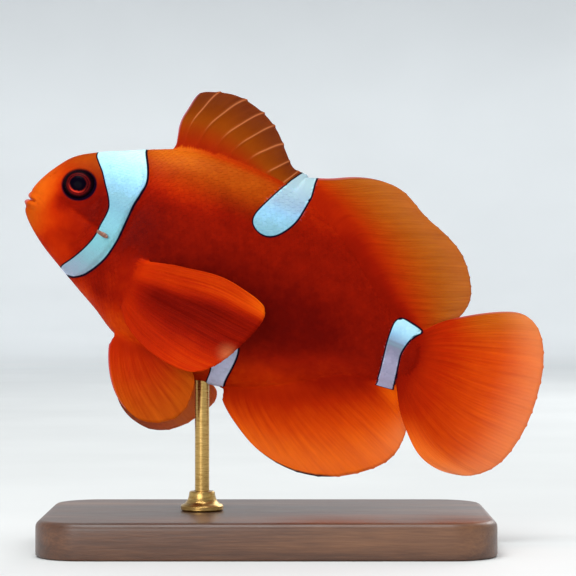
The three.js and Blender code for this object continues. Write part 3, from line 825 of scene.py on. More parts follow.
PELVIC = {
    "root": [(32.6, -19.6), (37, -20.3), (41.5, -20.7)],
    "bars": (), "rays": 6, "rows": 24, "root_thickness": 2.2, "along": raked(0.08), "clear": 0.12,
}
PECTORAL = {
    "root": [(29.6, -3.0), (30.2, -8.2), (31.6, -13.4)],
    "front": [(36.0, -1.0), (43.0, 0.2), (51.0, 1.4), (57.6, 0.4), (63.0, -1.2)],
    "edge": [(64.4, -4.6), (62.2, -10.8), (58.8, -17.4)],
    "rear": [(33.8, -17.0), (39.4, -20.6), (47.0, -22.4), (53.8, -21.8)],
    "rays": 16, "rows": 26, "root_thickness": 1.5, "along": raked(0.0),
    "tone": pectoral_light_and_shade, "amber": (0, 0), "pale": (0, 0), "clear": 0, "bars": (),
}
FINS = {
    "dorsal_fin_spiny": {
        "root": [(29.8, 21.5), (37, 23), (47, 24), (61.5, 22.5)],
        "front": [(27.7, 31.3), (28.1, 36.0), (29.3, 40.5)],
        "edge": [(33.0, 42.5), (38.5, 43.6), (45.0, 42.3), (50.2, 39.4), (54.2, 35.2), (57.2, 32.3)],
        "rear": [(61.7, 31.2)],
        "bars": ("middle",), "lean": upright, "rays": 9, "rows": 30, "root_thickness": 2.2,
        "along": spiny_rays,
        "tone": fin_tone(0.42, 0.2, leaves=(-0.05, 0.12)), "amber": (0.05, 0.7), "pale": (0, 0),
        "clear": 0.1, "rim": 0.8, "ease": 0.12,
    },
    "dorsal_fin_soft": {
        "root": [(59.4, 22.5), (74, 18.5), (86, 11), (98.6, 6.0)],
        "front": [(60.0, 30.2), (62.6, 31.8), (66.6, 33.3), (71.4, 35.7), (77.4, 37.3)],
        "edge": [(84.3, 37.1), (90.9, 33.5), (97.6, 31.2), (103.4, 28.0), (107.6, 22.6), (109.2, 17.8)],
        "rear": [(102.6, 8.2), (107.4, 12.4)],
        "bars": ("middle", "tail"), "lean": overlapping(-0.9), "rays": 17, "rows": 34, "root_thickness": 3.2,
        "along": raked(0.1),
        "tone": fin_tone(0.5, 0.66, 0.2), "amber": (0, 0.95), "amber_from": (0.16, 0.85), "pale": (0, 0.05),
        "clear": 0.12, "rim": 0.6,
    },
    "anal_fin": {
        "root": [(62.6, -19.5), (74, -15.5), (86, -9.2), (98.4, -5.8)],
        "front": [(60.5, -23.2), (63.0, -27.3), (68.8, -31.4), (74.8, -34.4)],
        "edge": [(83.4, -36.0), (92.2, -34.6), (99.8, -30.4), (105.4, -24.9), (106.6, -18.8)],
        "rear": [(102.6, -8.4), (105.6, -13.2)],
        "bars": ("tail",), "lean": overlapping(-0.9), "rays": 15, "rows": 30, "root_thickness": 4.0,
        "along": raked(0.18),
        "tone": anal_tone, "amber": (0, 0.05), "pale": (0, 0.35), "clear": 0.12,
    },
    "caudal_fin": {
        "root": [(98.2, 3.6), (97.5, 0), (98.2, -3.6)],
        "front": [(103.2, 10.1), (110.0, 15.1), (117.2, 19.0), (122.6, 20.4)],
        "edge": [(127.9, 17.9), (131.7, 10.8), (133.3, 1.5), (133.2, -7.0), (130.9, -15.6), (126.0, -20.6)],
        "rear": [(102.3, -11.6), (106.3, -16.5), (111.2, -20.9), (116.6, -22.5), (121.4, -22.1)],
        "bars": ("tail",), "lean": upright, "rays": 17, "rows": 34, "root_thickness": 2.7,
        "along": raked(0.0),
        "tone": caudal_tone, "amber": (0, 0.1), "pale": (0, 0.45), "clear": 0.15,
        "rim": 0.5, "rim_from": (0.36, 0.5), "front_amber": 0.6, "rear_pale": 0.3,
    },
    "pelvic_fin_left": {
        **PELVIC,
        "front": [(31.6, -23.0), (34.0, -29.2), (37.4, -33.8), (41.2, -36.4)],
        "edge": [(46.4, -37.9), (52.2, -35.6), (55.3, -30.4)],
        "rear": [(47.5, -21.0), (53.8, -22.4)],
        "lean": pelvic_lean(-1, 5.2),
        "tone": fin_tone(0.56, 0.66), "amber": (0, 0.5), "pale": (0, 0), "rim": 0.45,
    },
    "pelvic_fin_right": {
        **PELVIC,
        "front": [(32.0, -23.6), (34.6, -30.0), (38.4, -36.0), (42.8, -39.0)],
        "edge": [(49.2, -40.0), (55.0, -36.8), (59.2, -31.0)],
        "rear": [(49.5, -21.4), (60.4, -25.0)],
        "lean": pelvic_lean(1, 4.6),
        "tone": far_pelvic_shaded_tone, "amber": (0.1, 0.5), "pale": (0, 0.1),
    },
    "pectoral_fin_left": {**PECTORAL, "lean": pectoral_lean(-1)},
    "pectoral_fin_right": {**PECTORAL, "lean": pectoral_lean(1)},
}
MEMBRANE = 0.24  # thickness of the skin between the rays
SOFT_RAY = {"columns": 6, "width": 0.13, "ridge": 0.26, "streaks": 1}
SPINY_RAY = {"columns": 16, "width": 0.09, "ridge": 0.34, "streaks": 0.4}
FORK = 0.17  # how far a soft ray's branches part, in spacings of the rays
FIELD = 40  # from one fin's streaks to the next fin's, so that no two are alike


def ray_profile(q, v, branched):
    """1 on the line of a ray, which forks on its way out in the soft fins."""
    off = np.abs(q - np.round(q))
    if branched:
        off = np.abs(off - FORK * smooth(0.4, 0.75, v))
    return bump(off, SOFT_RAY["width"] if branched else SPINY_RAY["width"])


PALE_CORNER = {"at": (59.4, -15.0), "reach": 3.4, "share": 0.3}  # on the pectoral fins
BAR_FOOT = {"at": (95.4, -8.9), "slope": 0.1, "sharpness": 8}  # where the tail's bar ends on the anal fin
PLAIN, INKED = 3.2, 0.6  # values of Bar for no mark, and for a dark line


def fin_values(name, fin, here, q, v):
    """The markings of a fin, with the light and shade painted into them: q runs from its first ray to its
    last, v from its root to its margin.
    """
    spiny = "spiny" in name
    values = markings(here, fin["bars"])
    outward = smooth(*fin.get("amber_from", (0.3, 1.0)), v)
    values["Tone"] = fin["tone"](q, v, values["Tone"])
    values["Amber"] = mix(fin["amber"][0], fin["amber"][1], outward)
    values["Amber"] += fin.get("front_amber", 0) * (1 - smooth(0.04, 0.3, q)) * smooth(0.34, 0.6, v)
    values["Pale"] = mix(fin["pale"][0], fin["pale"][1], smooth(0.66, 1.0, v))
    values["Pale"] += fin.get("rear_pale", 0) * smooth(0.78, 1, q) * smooth(0.3, 0.8, v)
    if "pectoral" in name:
        away = np.hypot(here[:, 0] - PALE_CORNER["at"][0], here[:, 1] - PALE_CORNER["at"][1])
        values["Pale"] += PALE_CORNER["share"] * (1 - smooth(0, 1, away / PALE_CORNER["reach"]))
    values["Clear"] = fin["clear"] * smooth(0.35, 1, v)
    # A painted highlight: a pale lilac line along each fin's first ray.
    rim = fin.get("rim", 0) * (1 - smooth(0, 0.02, q)) * smooth(*fin.get("rim_from", (0.1, 0.3)), v)
    values["BlushAndPaintedLight"] = np.maximum(values["BlushAndPaintedLight"], rim)
    if spiny:  # pale lines on its rays
        line = bump(q * fin["rays"] - np.round(q * fin["rays"]), 0.04)
        values["Pale"] = 0.42 * line * smooth(0.3, 0.55, v)
        values["Amber"] = mix(0.12, 0.88, smooth(0.16, 0.5, v))
    if name == "anal_fin":  # the foot of the tail's bar, and a dark line along the lower front edge
        below_bar = BAR_FOOT["at"][1] + BAR_FOOT["slope"] * (here[:, 0] - BAR_FOOT["at"][0]) - here[:, 1]
        values["Bar"] = np.maximum(values["Bar"], BAR_FOOT["sharpness"] * below_bar)
        values["BlushAndPaintedLight"] *= values["Bar"] < 0.2
        lower = smooth(0.03, 0.04, 1 - v) + smooth(0.2, 0.4, q)
        front = smooth(0.008, 0.011, q) + 1 - smooth(0.4, 0.6, v)
        inside = np.minimum(1, np.minimum(lower, front))
        values["Bar"] = np.minimum(values["Bar"], mix(INKED, PLAIN, inside))
        values["Pale"] *= smooth(0.3, 0.7, q)
    return values


def make_fin(name, fin):
    """A fin as a closed plate with raised rays and a flared root, to be joined to the body."""
    patch = fin_patch(fin)
    rays, branched = fin["rays"], "spiny" not in name
    kind = SOFT_RAY if branched else SPINY_RAY
    bm = bmesh.new()
    bmesh.ops.create_grid(bm, x_segments=rays * kind["columns"], y_segments=fin["rows"], size=0.5)
    bmesh.ops.solidify(bm, geom=bm.faces[:], thickness=1)
    plate = corners(bm)
    q, v = plate[:, 0] + 0.5, np.clip(plate[:, 1] + 0.5, 0, 1)
    side = np.sign(plate[:, 2] - (plate[:, 2].max() + plate[:, 2].min()) / 2)
    ray = ray_profile(q * rays, v, branched)
    fringe = 0.006 * (1 - ray_profile(q * rays, v * 0, False)) if branched else 0.025 * (1 - ray)
    reach = v * (1 - fringe * v**6)
    u = fin["along"](q, reach)
    here = patch(u, reach)
    e = 0.01
    ahead = patch(np.minimum(1, u + e), reach) - patch(np.maximum(0, u - e), reach)
    outer = patch(u, np.minimum(1, reach + e)) - patch(u, np.maximum(0, reach - e))
    facing = np.cross(ahead, outer)
    facing /= np.maximum(np.linalg.norm(facing, axis=-1, keepdims=True), 1e-9)
    flare = (1 - smooth(0, 0.6, v)) ** 1.4
    ridge = kind["ridge"] * ray * (1 - 0.72 * v)
    if name in ("dorsal_fin_soft", "anal_fin"):  # the tail stem is slim
        flare = flare * (1 - 0.6 * smooth(0.55, 0.95, q))
    thickness = MEMBRANE * (1 - 0.45 * smooth(0.86, 1, v)) + fin["root_thickness"] * flare + ridge
    ripple = 0.1 * np.sin(q * rays * math.pi) * v + 0.12 * np.sin(5.2 * q + 3.1 * v) * v
    move_corners(bm, world(here + facing * (side * thickness / 2 + ripple)[:, None]))
    bmesh.ops.recalc_face_normals(bm, faces=bm.faces[:])
    mesh = mesh_from(bm, name)
    write_values(mesh, fin_values(name, fin, here, q, v))
    own_field = FIELD * list(FINS).index(name)
    write_uv(mesh, "Rays", np.stack([q * rays + own_field, v * kind["streaks"]], -1))
    mesh.polygons.foreach_set("material_index", np.ones(len(mesh.polygons), dtype=np.int32))
    return new_piece(name, mesh, SKIN, FIN)


ROOT_EASING = ((5, 8), (3, 8), (1, 4))  # rings of corners round a fin's root, and passes of smoothing


def make_skin():
    """Body and fins as one closed skin, with the fins' roots smoothed into the body."""
    body = make_body()
    for name, fin in FINS.items():
        grown = make_fin(name, fin)
        union = body.modifiers.new("union", "BOOLEAN")
        union.operation, union.solver, union.object = "UNION", "MANIFOLD", grown
        joined = evaluated_mesh(body)
        body.modifiers.remove(union)
        body.data = joined
        bpy.data.objects.remove(grown)
    bm = bmesh.new()
    bm.from_mesh(body.data)
    seam = {v for v in bm.verts if len({f.material_index for f in v.link_faces}) > 1}
    layers, tone = bm.verts.layers.float.values(), bm.verts.layers.float["Tone"]
    blank = {v for v in bm.verts if v in seam or v[tone] < 0.01}  # new corners carry no values yet
    while blank:
        known = {v: [e.other_vert(v) for e in v.link_edges if e.other_vert(v) not in blank] for v in blank}
        known = {v: others for v, others in known.items() if others}
        for v, others in known.items():
            for layer in layers:
                v[layer] = sum(other[layer] for other in others) / len(others)
        blank -= set(known)
        if not known:
            break
    for rings, passes in ROOT_EASING:
        region = set(seam)
        for _ in range(rings):
            region |= {e.other_vert(v) for v in region for e in v.link_edges}
        for _ in range(passes):
            bmesh.ops.smooth_vert(bm, verts=list(region), factor=0.5,
                                  use_axis_x=True, use_axis_y=True, use_axis_z=True)
    mesh = mesh_from(bm, "clownfish_skin")
    shade_smooth(mesh)
    bpy.data.objects.remove(body)
    return new_piece("clownfish_skin", mesh, SKIN, FIN)


skin_piece = make_skin()
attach(skin_piece, "root")
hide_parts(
    "head", "lower_jaw", "gill_cover_left", "gill_cover_right", "trunk", "tail_stem",
    "dorsal_fin_spiny", "dorsal_fin_soft", "anal_fin", "caudal_fin", "pelvic_fin_left",
    "pelvic_fin_right", "pectoral_fin_left", "pectoral_fin_right",
)


# ---- Scales ---------------------------------------------------------------------------------
STRETCH = 1.14  # a scale's spacing along the body over its spacing across
FLANK_SIZE = ([0, 26, 34, 60, 80, 96, 104], [0.8, 0.98, 1.26, 1.26, 1.1, 0.84, 0.8])  # places, and spacing
HEAD_SIZE = ([0, 14, 26], [0.62, 0.74, 0.86])
PLATE = {"length": 2.05, "width": 1.5, "pivot": 0.62, "crown": 0.012}  # of one scale, in spacings
PATCH = 0.003  # a scale's side on the OFBake UV map
MID_TILT = 90  # the mid line's place among a lattice's tilts


class Lattice:
    """Rows of sites over one side of the body, each row a steady distance from the mid line."""

    def __init__(self, side, size):
        self.side = side
        self.along = np.linspace(0.02, 0.985, 420)
        self.tilt = np.linspace(-math.pi / 2, math.pi / 2, 2 * MID_TILT + 1)
        points = hull(self.along[:, None], self.turn(self.tilt)[None, :])
        length = np.linalg.norm(np.diff(points, axis=1), axis=-1)
        arc = np.concatenate([np.zeros((len(self.along), 1)), np.cumsum(length, axis=1)], axis=1)
        self.arc = arc - arc[:, MID_TILT : MID_TILT + 1]
        flank = FLANK(self.along)[:, 0]
        self.size = np.interp(flank, *size)
        pace = np.diff(flank) / (STRETCH * (self.size[1:] + self.size[:-1]) / 2)
        self.pace = np.concatenate([[0], np.cumsum(pace)])

    def turn(self, tilt):
        return self.side * (math.pi / 2 - tilt)

    def tilt_at(self, along, distance):
        """The tilt at which a row that far from the mid line lies."""
        k = np.clip(np.searchsorted(self.along, along) - 1, 0, len(self.along) - 2)
        f = np.clip((along - self.along[k]) / (self.along[k + 1] - self.along[k]), 0, 1)
        low, high = np.empty_like(along), np.empty_like(along)
        for row in np.unique(k):
            here = k == row
            low[here] = np.interp(distance[here], self.arc[row], self.tilt)
            high[here] = np.interp(distance[here], self.arc[row + 1], self.tilt)
        return mix(low, high, f)

    def sites(self):
        """Every site as (along, row)."""
        rows = np.arange(-60, 61)
        columns = np.arange(0, int(self.pace[-1]))
        row, column = np.meshgrid(rows, columns)
        row, column = row.ravel(), column.ravel() + 0.5 * (row.ravel() % 2)
        along = np.interp(column, self.pace, self.along)
        distance = row * np.interp(along, self.along, self.size)
        top = np.interp(along, self.along, self.arc[:, -1])
        bottom = np.interp(along, self.along, self.arc[:, 0])
        room = (distance < top) & (distance > bottom) & (column < self.pace[-1])
        return along[room], row[room].astype(float)


def scale_shape():
    """One scale as a thin plate: x across, y from its hidden root to its rounded rear edge."""
    bm = bmesh.new()
    bmesh.ops.create_grid(bm, x_segments=4, y_segments=3, size=0.5)
    for v in bm.verts:
        x, y = v.co.x * 2, v.co.y + 0.5
        round_off = 1 - 0.34 * abs(x) ** 2.2
        v.co.y = y * round_off
        v.co.x = 0.5 * x * (1 - 0.3 * y**2.5) * (0.8 + 0.2 * min(1, y * 3))
    bmesh.ops.solidify(bm, geom=bm.faces[:], thickness=1)
    bmesh.ops.recalc_face_normals(bm, faces=bm.faces[:])
    low = min(v.co.z for v in bm.verts)
    bmesh.ops.translate(bm, verts=bm.verts[:], vec=(0, 0, -low))
    return bm


def lay_scales(name, side, size, wanted, sink, thickness, raise_root, raise_edge):
    """A coat of overlapping scales on one side of the body."""
    lattice = Lattice(side, size)
    along, row = lattice.sites()
    across = row * np.interp(along, lattice.along, lattice.size)
    here = hull(along, lattice.turn(lattice.tilt_at(along, across)))
    keep = wanted(here)
    along, row = along[keep], row[keep]
    count = len(along)

    one = new_piece("scale", mesh_from(scale_shape(), "scale"))
    plate = np.array([v.co[:] for v in one.data.vertices])
    array = one.modifiers.new("rows", "ARRAY")
    array.count, array.use_relative_offset, array.use_constant_offset = count, False, True
    array.constant_offset_displace = (1.5, 0, 0)
    mesh = evaluated_mesh(one)
    bpy.data.objects.remove(one)

    x, y, z = plate[:, 0][None, :], plate[:, 1][None, :], plate[:, 2][None, :]
    own = np.interp(along, lattice.along, lattice.size)[:, None]
    rate = np.interp(along, lattice.along, np.gradient(FLANK(lattice.along)[:, 0], lattice.along))[:, None]
    behind = (y - PLATE["pivot"]) * PLATE["length"] * STRETCH * own / rate
    there = np.clip(along[:, None] + behind, 0.003, 0.997)
    there_size = np.interp(there, lattice.along, lattice.size)
    distance = row[:, None] * there_size + side * x * PLATE["width"] * own
    tilt = lattice.tilt_at(there.ravel(), distance.ravel()).reshape(there.shape)
    crown = PLATE["crown"] * (1 - (2 * x) ** 2)
    lift = mix(raise_root, raise_edge, y) + crown + z * thickness - sink(here[keep])[:, None]
    places, _, base = skin(there, lattice.turn(tilt), lift)
    mesh.vertices.foreach_set("co", world(places).astype(np.float32).ravel())

    luck = np.random.default_rng(11 + side).random(count)
    values = {k: v.ravel() for k, v in markings(base).items()}
    values["Chance"] = np.repeat(luck, len(plate))
    write_values(mesh, values)
    local = np.stack([plate[:, 0] + 0.5, plate[:, 1]], -1)
    turned_by = lattice.turn(lattice.tilt_at(along, row * own[:, 0])) / (2 * math.pi)
    unwrap = np.stack([turned_by + 0.5, along], -1)
    patches = unwrap[:, None, :] + (local[None, :, :] - 0.5) * PATCH
    write_uv(mesh, "OFBake", patches.reshape(-1, 2))
    write_uv(mesh, "Plate", np.tile(local, (count, 1)))
    shade_smooth(mesh)
    mesh.set_sharp_from_angle(angle=math.radians(50))
    piece = new_piece(name, mesh, SCALES)
    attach(piece, "root")


def clear_of_fins(points):
    a, b, c = points[..., 0], points[..., 1], np.abs(points[..., 2])
    dorsal = (a > 28) & (a < 97) & (c < 0.9) & (b > 0)
    anal = (a > 61) & (a < 97) & (c < 0.9) & (b < 0)
    return ~dorsal & ~anal


def on_trunk(points):
    a, b = points[..., 0], points[..., 1]
    gap, _ = line_distance(a, b, COVER_MARGIN)
    behind = (gap > 0.75) | ((b > 19) & (a > 19))
    return behind & (a < 101.2) & clear_of_fins(points)


def on_head(points):
    a, b = points[..., 0], points[..., 1]
    cover, _ = line_distance(a, b, COVER_MARGIN)
    margin, _ = line_distance(a, b, CHEEK_MARGIN)
    ridge, _ = line_distance(a, b, CHEEK_RIDGE)
    nape = (b > 12) & (a > 11.5)
    ahead = (cover < -0.5) | (b > 19)
    trunk = (b > 19) & (a > 19)
    bare = (eye_reach(points) < 1.5) | (np.abs(margin) < 0.4) | (np.abs(ridge) < 0.4)
    return (nape | (a > 12)) & ahead & ~trunk & ~bare


def sink_at_fins(points):
    """Scales sink into the skin towards the roots of the fins."""
    a, b, c = points[..., 0], points[..., 1], np.abs(points[..., 2])
    beside = np.where(b > 0, (a > 28) & (a < 97), (a > 61) & (a < 97))
    gap, _ = line_distance(a, b, PECTORAL_BASE)
    pectoral = 1 - smooth(1.2, 3.2, np.abs(gap))
    return 0.11 * np.maximum(beside * (1 - smooth(0.9, 2.1, c)), pectoral)


def sink_on_face(points):
    """Scales on the face sink into the skin towards the eye and snout."""
    a, b = points[..., 0], points[..., 1]
    return 0.1 * (1 - smooth(12, 17.5, a + 0.3 * np.maximum(0, b - 8)))


for label, side in BOTH_SIDES:
    lay_scales("scales_flank_" + label, side, FLANK_SIZE, on_trunk, sink_at_fins, 0.03, -0.08, 0.03)
    lay_scales("scales_head_" + label, side, HEAD_SIZE, on_head, sink_on_face, 0.022, -0.07, 0.02)


# ---- Eyes -----------------------------------------------------------------------------------
def make_eye_material():
    made, tree, bsdf = material("eye", Coat_Weight=0.012, Coat_Roughness=0.03, Roughness=0.35,
                                Specular_IOR_Level=0.01)
    ring = node(tree, "ShaderNodeAttribute", attribute_name="Ring").outputs["Fac"]
    low = node(tree, "ShaderNodeAttribute", attribute_name="GlintBelow").outputs["Fac"]
    fleck = noise(tree, object_place(tree), 2600.0, 4.0)
    uneven = maths(tree, "MULTIPLY_ADD", maths(tree, "SUBTRACT", fleck, 0.5), 0.1, ring)
    dark = ramp(tree, uneven, [
        (0.0, paint(4, 2, 12)), (0.455, paint(5, 1, 12)), (0.49, paint(44, 5, 10)),
        (0.54, paint(88, 12, 14)), (0.6, paint(34, 4, 8)), (0.66, paint(92, 12, 12)),
        (0.7, paint(60, 5, 8)), (0.77, paint(12, 2, 8)), (1.0, paint(8, 2, 6)),
    ])
    # The bright ramp is a painted glint: the iris ring lit up towards its lower side.
    bright = ramp(tree, uneven, [
        (0.0, paint(4, 2, 12)), (0.455, paint(8, 1, 12)), (0.49, paint(150, 34, 22)),
        (0.55, paint(232, 58, 40)), (0.61, paint(100, 10, 12)), (0.68, paint(104, 13, 14)),
        (0.74, paint(60, 6, 10)), (0.8, paint(14, 2, 8)), (1.0, paint(8, 2, 6)),
    ])
    tree.links.new(blend(tree, low, dark, bright), bsdf.inputs["Base Color"])
    connect_bump(tree, bsdf, fleck, 0.00001)
    return made


EYE_FINISH = make_eye_material()


def make_eye(label, side):
    """The eyeball: a smooth dome with the pupil standing a little proud of the iris."""
    mirror = np.array([1, 1, side])
    middle, look, ahead, up = (v * mirror for v in (EYE_MIDDLE, EYE_LOOK, EYE_AHEAD, EYE_UP))
    bm = bmesh.new()
    bmesh.ops.create_uvsphere(bm, u_segments=64, v_segments=64, radius=1)
    ball = corners(bm)
    ring, front = np.hypot(ball[:, 0], ball[:, 1]), ball[:, 2] > 0
    pupil = 0.03 * (1 - smooth(0.38, 0.5, ring)) - 0.02 * bump(ring - 0.5, 0.04)
    height = ball[:, 2] * 0.97 + np.where(front, pupil, 0)
    places = (
        middle + np.outer(ball[:, 0] * EYE_SIZE["length"], ahead)
        + np.outer(ball[:, 1] * EYE_SIZE["height"], up) + np.outer(height * EYE_SIZE["depth"], look)
    )
    move_corners(bm, world(places))
    bmesh.ops.recalc_face_normals(bm, faces=bm.faces[:])
    mesh = mesh_from(bm, "eyeball_" + label)
    # How low a point lies on the eye, for the painted glint on the lower iris.
    low = np.clip(-ball[:, 1] / np.maximum(ring, 1e-6), 0, 1) ** 2.2
    write_values(mesh, {"Ring": np.where(front, ring, 1.0), "GlintBelow": np.where(front, low, 0.0)})
    shade_smooth(mesh)
    piece = new_piece("eyeball_" + label, mesh, EYE_FINISH)
    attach(piece, "root")
    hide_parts("eye_" + label)


# ---- Cheek spines ---------------------------------------------------------------------------
def make_spine_material():
    made, tree, bsdf = material("spine bone", Roughness=0.4, Coat_Weight=0.2, Subsurface_Weight=0.15,
                                Subsurface_Scale=0.0004)
    grain = noise(tree, object_place(tree), 2400.0, 3.0)
    colour = ramp(tree, grain, [
        (0.3, paint(84, 44, 32)), (0.55, paint(124, 76, 56)), (0.8, paint(158, 112, 86)),
    ])
    tree.links.new(colour, bsdf.inputs["Base Color"])
    connect_bump(tree, bsdf, grain, 0.00002)
    return made


BONE = make_spine_material()
SPINE = {
    "from": (19.8, 0.35), "to": (22.8, -0.1), "sunk": 0.55, "lift": 0.9,
    "radius": 0.68, "taper": 0.22, "flat": 0.8, "bow": 0.35,
}


def make_spine(label, side):
    ends = []
    for place, lift in ((SPINE["from"], -SPINE["sunk"]), (SPINE["to"], SPINE["lift"])):
        along, round_ = find_on_body(*place, side)
        point = hull(np.array(along), np.array(round_))
        ends.append(point + lift * hull_facing(np.array(along), np.array(round_)))
    start, end = ends
    bm = bmesh.new()
    bmesh.ops.create_cone(bm, cap_ends=True, segments=20, radius1=1, radius2=1, depth=1)
    bmesh.ops.subdivide_edges(bm, edges=[e for e in bm.edges if abs(e.verts[0].co.z - e.verts[1].co.z) > 0.5],
                              cuts=14)
    axis = (end - start) / np.linalg.norm(end - start)
    sideways = np.cross(axis, (0, 0, side))
    sideways /= np.linalg.norm(sideways)
    outward = np.cross(sideways, axis)
    tube = corners(bm)
    t = tube[:, 2] + 0.5
    radius = SPINE["radius"] * np.sqrt(np.clip(1 - t**6, 0.02, 1)) * (1 - SPINE["taper"] * t)
    bow = SPINE["bow"] * np.sin(math.pi * t) * side
    places = (
        start + np.outer(t * np.linalg.norm(end - start), axis) + np.outer(tube[:, 0] * radius, sideways)
        + np.outer(tube[:, 1] * radius * SPINE["flat"] + bow, outward)
    )
    move_corners(bm, world(places))
    bmesh.ops.recalc_face_normals(bm, faces=bm.faces[:])
    mesh = mesh_from(bm, "cheek_spine_bone_" + label)
    shade_smooth(mesh)
    piece = new_piece("cheek_spine_bone_" + label, mesh, BONE)
    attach(piece, "root")
    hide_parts("cheek_spine_" + label)


for label, side in BOTH_SIDES:
    make_eye(label, side)
    make_spine(label, side)


# ---- Display stand --------------------------------------------------------------------------
def make_walnut():
    made, tree, bsdf = material("walnut", Coat_Weight=0.25, Coat_Roughness=0.25)
    place = object_place(tree)
    stretched = node(tree, "ShaderNodeMapping", {"Vector": place, "Scale": (18.0, 170.0, 260.0)})
    lit_bands = noise(tree, stretched.outputs["Vector"], 1.0, 6.0, 0.6)
    pores = node(tree, "ShaderNodeMapping", {"Vector": place, "Scale": (220.0, 3600.0, 3600.0)})
    fine = noise(tree, pores.outputs["Vector"], 1.0, 3.0, 0.6)
    grain = maths(tree, "ADD", maths(tree, "MULTIPLY", lit_bands, 0.75), maths(tree, "MULTIPLY", fine, 0.25))
    colour = ramp(tree, grain, [
        (0.3, paint(46, 27, 17)), (0.5, paint(86, 52, 32)), (0.7, paint(124, 82, 52)),
    ])
    tree.links.new(colour, bsdf.inputs["Base Color"])
    tree.links.new(maths(tree, "MULTIPLY_ADD", fine, 0.25, 0.32), bsdf.inputs["Roughness"])
    connect_bump(tree, bsdf, fine, 0.00004)
    return made


def make_brass():
    made, tree, bsdf = material("satin brass", Metallic=1.0)
    brushed = node(tree, "ShaderNodeMapping", {"Vector": object_place(tree), "Scale": (900.0, 900.0, 9000.0)})
    fine = noise(tree, brushed.outputs["Vector"], 1.0, 3.0)
    colour = ramp(tree, fine, [(0.3, paint(164, 126, 66)), (0.7, paint(206, 170, 104))])
    tree.links.new(colour, bsdf.inputs["Base Color"])
    tree.links.new(maths(tree, "MULTIPLY_ADD", fine, 0.2, 0.2), bsdf.inputs["Roughness"])
    connect_bump(tree, bsdf, fine, 0.000006)
    return made


WALNUT, BRASS = make_walnut(), make_brass()


def rounded(bm, edges, width, segments):
    bmesh.ops.bevel(bm, geom=edges, offset=width, offset_type="OFFSET", segments=segments, profile=0.5,
                    affect="EDGES", material=-1, clamp_overlap=True)


BASE_CORNER, TOP_EDGE, FOOT_EDGE = 6 * MM, 0.9 * MM, 0.4 * MM  # the roundings' radii
ROD_RADIUS, ROD_CHAMFER = 0.9, 0.2  # millimetres


def make_base():
    low, high = Vector(BASE_BOX[0]), Vector(BASE_BOX[1])
    size = high - low
    bm = bmesh.new()
    bmesh.ops.create_cube(bm, size=1)
    bmesh.ops.scale(bm, verts=bm.verts[:], vec=size)
    bmesh.ops.translate(bm, verts=bm.verts[:], vec=(low + high) / 2)
    rounded(bm, [e for e in bm.edges if abs(e.verts[0].co.z - e.verts[1].co.z) > size.z / 2],
            BASE_CORNER, 12)
    rounded(bm, [e for e in bm.edges if all(v.co.z > high.z - 0.1 * MM for v in e.verts)], TOP_EDGE, 5)
    rounded(bm, [e for e in bm.edges if all(v.co.z < low.z + 0.01 * MM for v in e.verts)], FOOT_EDGE, 3)
    bmesh.ops.recalc_face_normals(bm, faces=bm.faces[:])
    mesh = mesh_from(bm, "stand_base_block")
    shade_smooth(mesh)
    mesh.set_sharp_from_angle(angle=math.radians(40))
    piece = new_piece("stand_base_block", mesh, WALNUT)
    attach(piece, "root")
    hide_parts("stand_base")


def spun(profile, middle, steps, merge):
    """A profile of (radius, height) spun about the upright axis through x = middle."""
    bm = bmesh.new()
    line = [bm.verts.new((middle + r, 0, z)) for r, z in profile]
    edges = [bm.edges.new(pair) for pair in zip(line, line[1:])]
    bmesh.ops.spin(bm, geom=line + edges, cent=(middle, 0, 0), axis=(0, 0, 1), angle=2 * math.pi,
                   steps=steps, use_merge=True)
    bmesh.ops.remove_doubles(bm, verts=bm.verts[:], dist=merge)
    bmesh.ops.recalc_face_normals(bm, faces=bm.faces[:])
    return bm


def turned(name, profile, replaced):
    """A round brass piece: a profile of (radius in mm, height) spun about the rod's own axis."""
    mesh = mesh_from(spun([(r * MM, z) for r, z in profile], ROD_X, 48, 0.001 * MM), name)
    shade_smooth(mesh)
    mesh.set_sharp_from_angle(angle=math.radians(35))
    piece = new_piece(name, mesh, BRASS)
    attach(piece, "root")
    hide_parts(replaced)


make_base()
foot, rod_top = BASE_BOX[1][2], ROD_BOX[1][2]
rod = [(0, ROD_BOX[0][2]), (ROD_RADIUS, ROD_BOX[0][2]), (ROD_RADIUS, rod_top - ROD_CHAMFER * MM),
       (ROD_RADIUS - ROD_CHAMFER, rod_top), (0, rod_top)]
turned("stand_rod_turned", rod, "stand_rod")
collar = [(1.0, 0.02), (2.5, 0.02), (2.7, 0.2), (2.7, 0.62), (2.55, 0.8), (2.25, 0.92), (2.0, 1.12),
          (1.78, 1.5), (1.66, 1.95), (1.62, 2.3), (1.5, 2.45), (1.3, 2.5), (1.0, 2.5), (1.0, 0.02)]
turned("stand_collar_turned", [(r, foot + h * MM) for r, h in collar], "stand_collar")


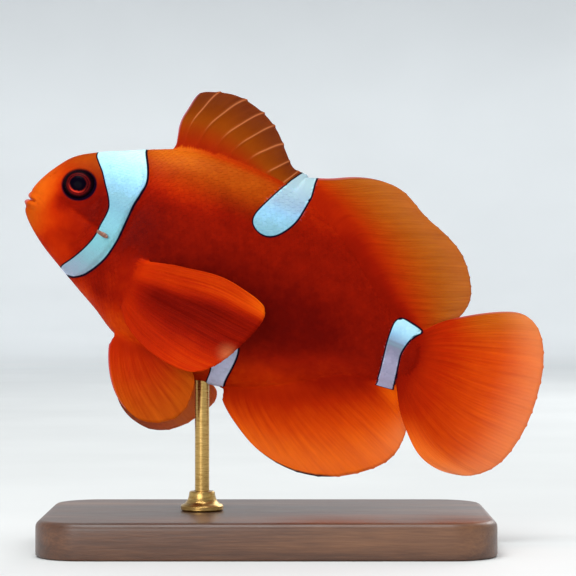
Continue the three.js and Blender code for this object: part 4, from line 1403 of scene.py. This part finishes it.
# ---- Floor, lights, camera ------------------------------------------------------------------
def make_floor():
    made, tree, bsdf = material("pale floor", Roughness=0.75, Emission_Strength=0.4)
    place = object_place(tree)
    cloud = noise(tree, place, 14.0, 3.0)
    tree.links.new(ramp(tree, cloud, [(0.3, paint(214, 216, 215)), (0.7, paint(222, 224, 223))]),
                   bsdf.inputs["Base Color"])
    away = node(tree, "ShaderNodeVectorMath", {0: place}, operation="LENGTH").outputs["Value"]
    glow = ramp(tree, away, [(0.12, (0, 0, 0, 1)), (1.0, (0.9, 0.95, 1, 1))])
    tree.links.new(glow, bsdf.inputs["Emission Color"])
    sweep = [(0, 0), (0.9, 0), (1.1, 0.012), (1.3, 0.06), (1.45, 0.15), (1.54, 0.28), (1.58, 0.45),
             (1.6, 0.8)]
    bm = spun(sweep, 0, 96, 0.1 * MM)
    bmesh.ops.reverse_faces(bm, faces=[f for f in bm.faces if f.normal.z < -0.5])
    mesh = mesh_from(bm, "floor")
    shade_smooth(mesh)
    piece = new_piece("floor", mesh, made)


def area_light(name, place, aim, size, power):
    data = bpy.data.lights.new(name, "AREA")
    data.shape, data.size, data.energy = "DISK", size, power
    light = bpy.data.objects.new(name, data)
    light.location = place
    light.rotation_euler = (Vector(aim) - Vector(place)).to_track_quat("-Z", "Y").to_euler()
    bpy.context.scene.collection.objects.link(light)


make_floor()
middle = (0.0026, 0, 0.03)
area_light("overhead", (-0.05, -0.08, 0.42), middle, 0.3, 1.3)
area_light("front", (-0.16, -0.42, 0.16), middle, 0.3, 0.95)
area_light("back", (0.25, 0.4, 0.3), middle, 0.3, 0.9)

scene = bpy.context.scene
sky = bpy.data.worlds.new("pale room")
sky.use_nodes = True
sky.node_tree.nodes["Background"].inputs["Color"].default_value = (0.86, 0.9, 0.93, 1)
sky.node_tree.nodes["Background"].inputs["Strength"].default_value = 0.45
scene.world = sky
scene.view_settings.view_transform = "Standard"

CAMERA = {"behind_snout": 33.11 * MM, "away": 302 * MM, "height": 32.5 * MM}
lens = bpy.data.cameras.new("camera")
lens.lens, lens.sensor_width = 150, 36
lens.clip_start, lens.clip_end = 0.01, 20
camera = bpy.data.objects.new("camera", lens)
camera.location = (SNOUT[0] + CAMERA["behind_snout"], -CAMERA["away"], CAMERA["height"])
camera.rotation_euler = (math.radians(90), 0, 0)
scene.collection.objects.link(camera)
scene.camera = camera
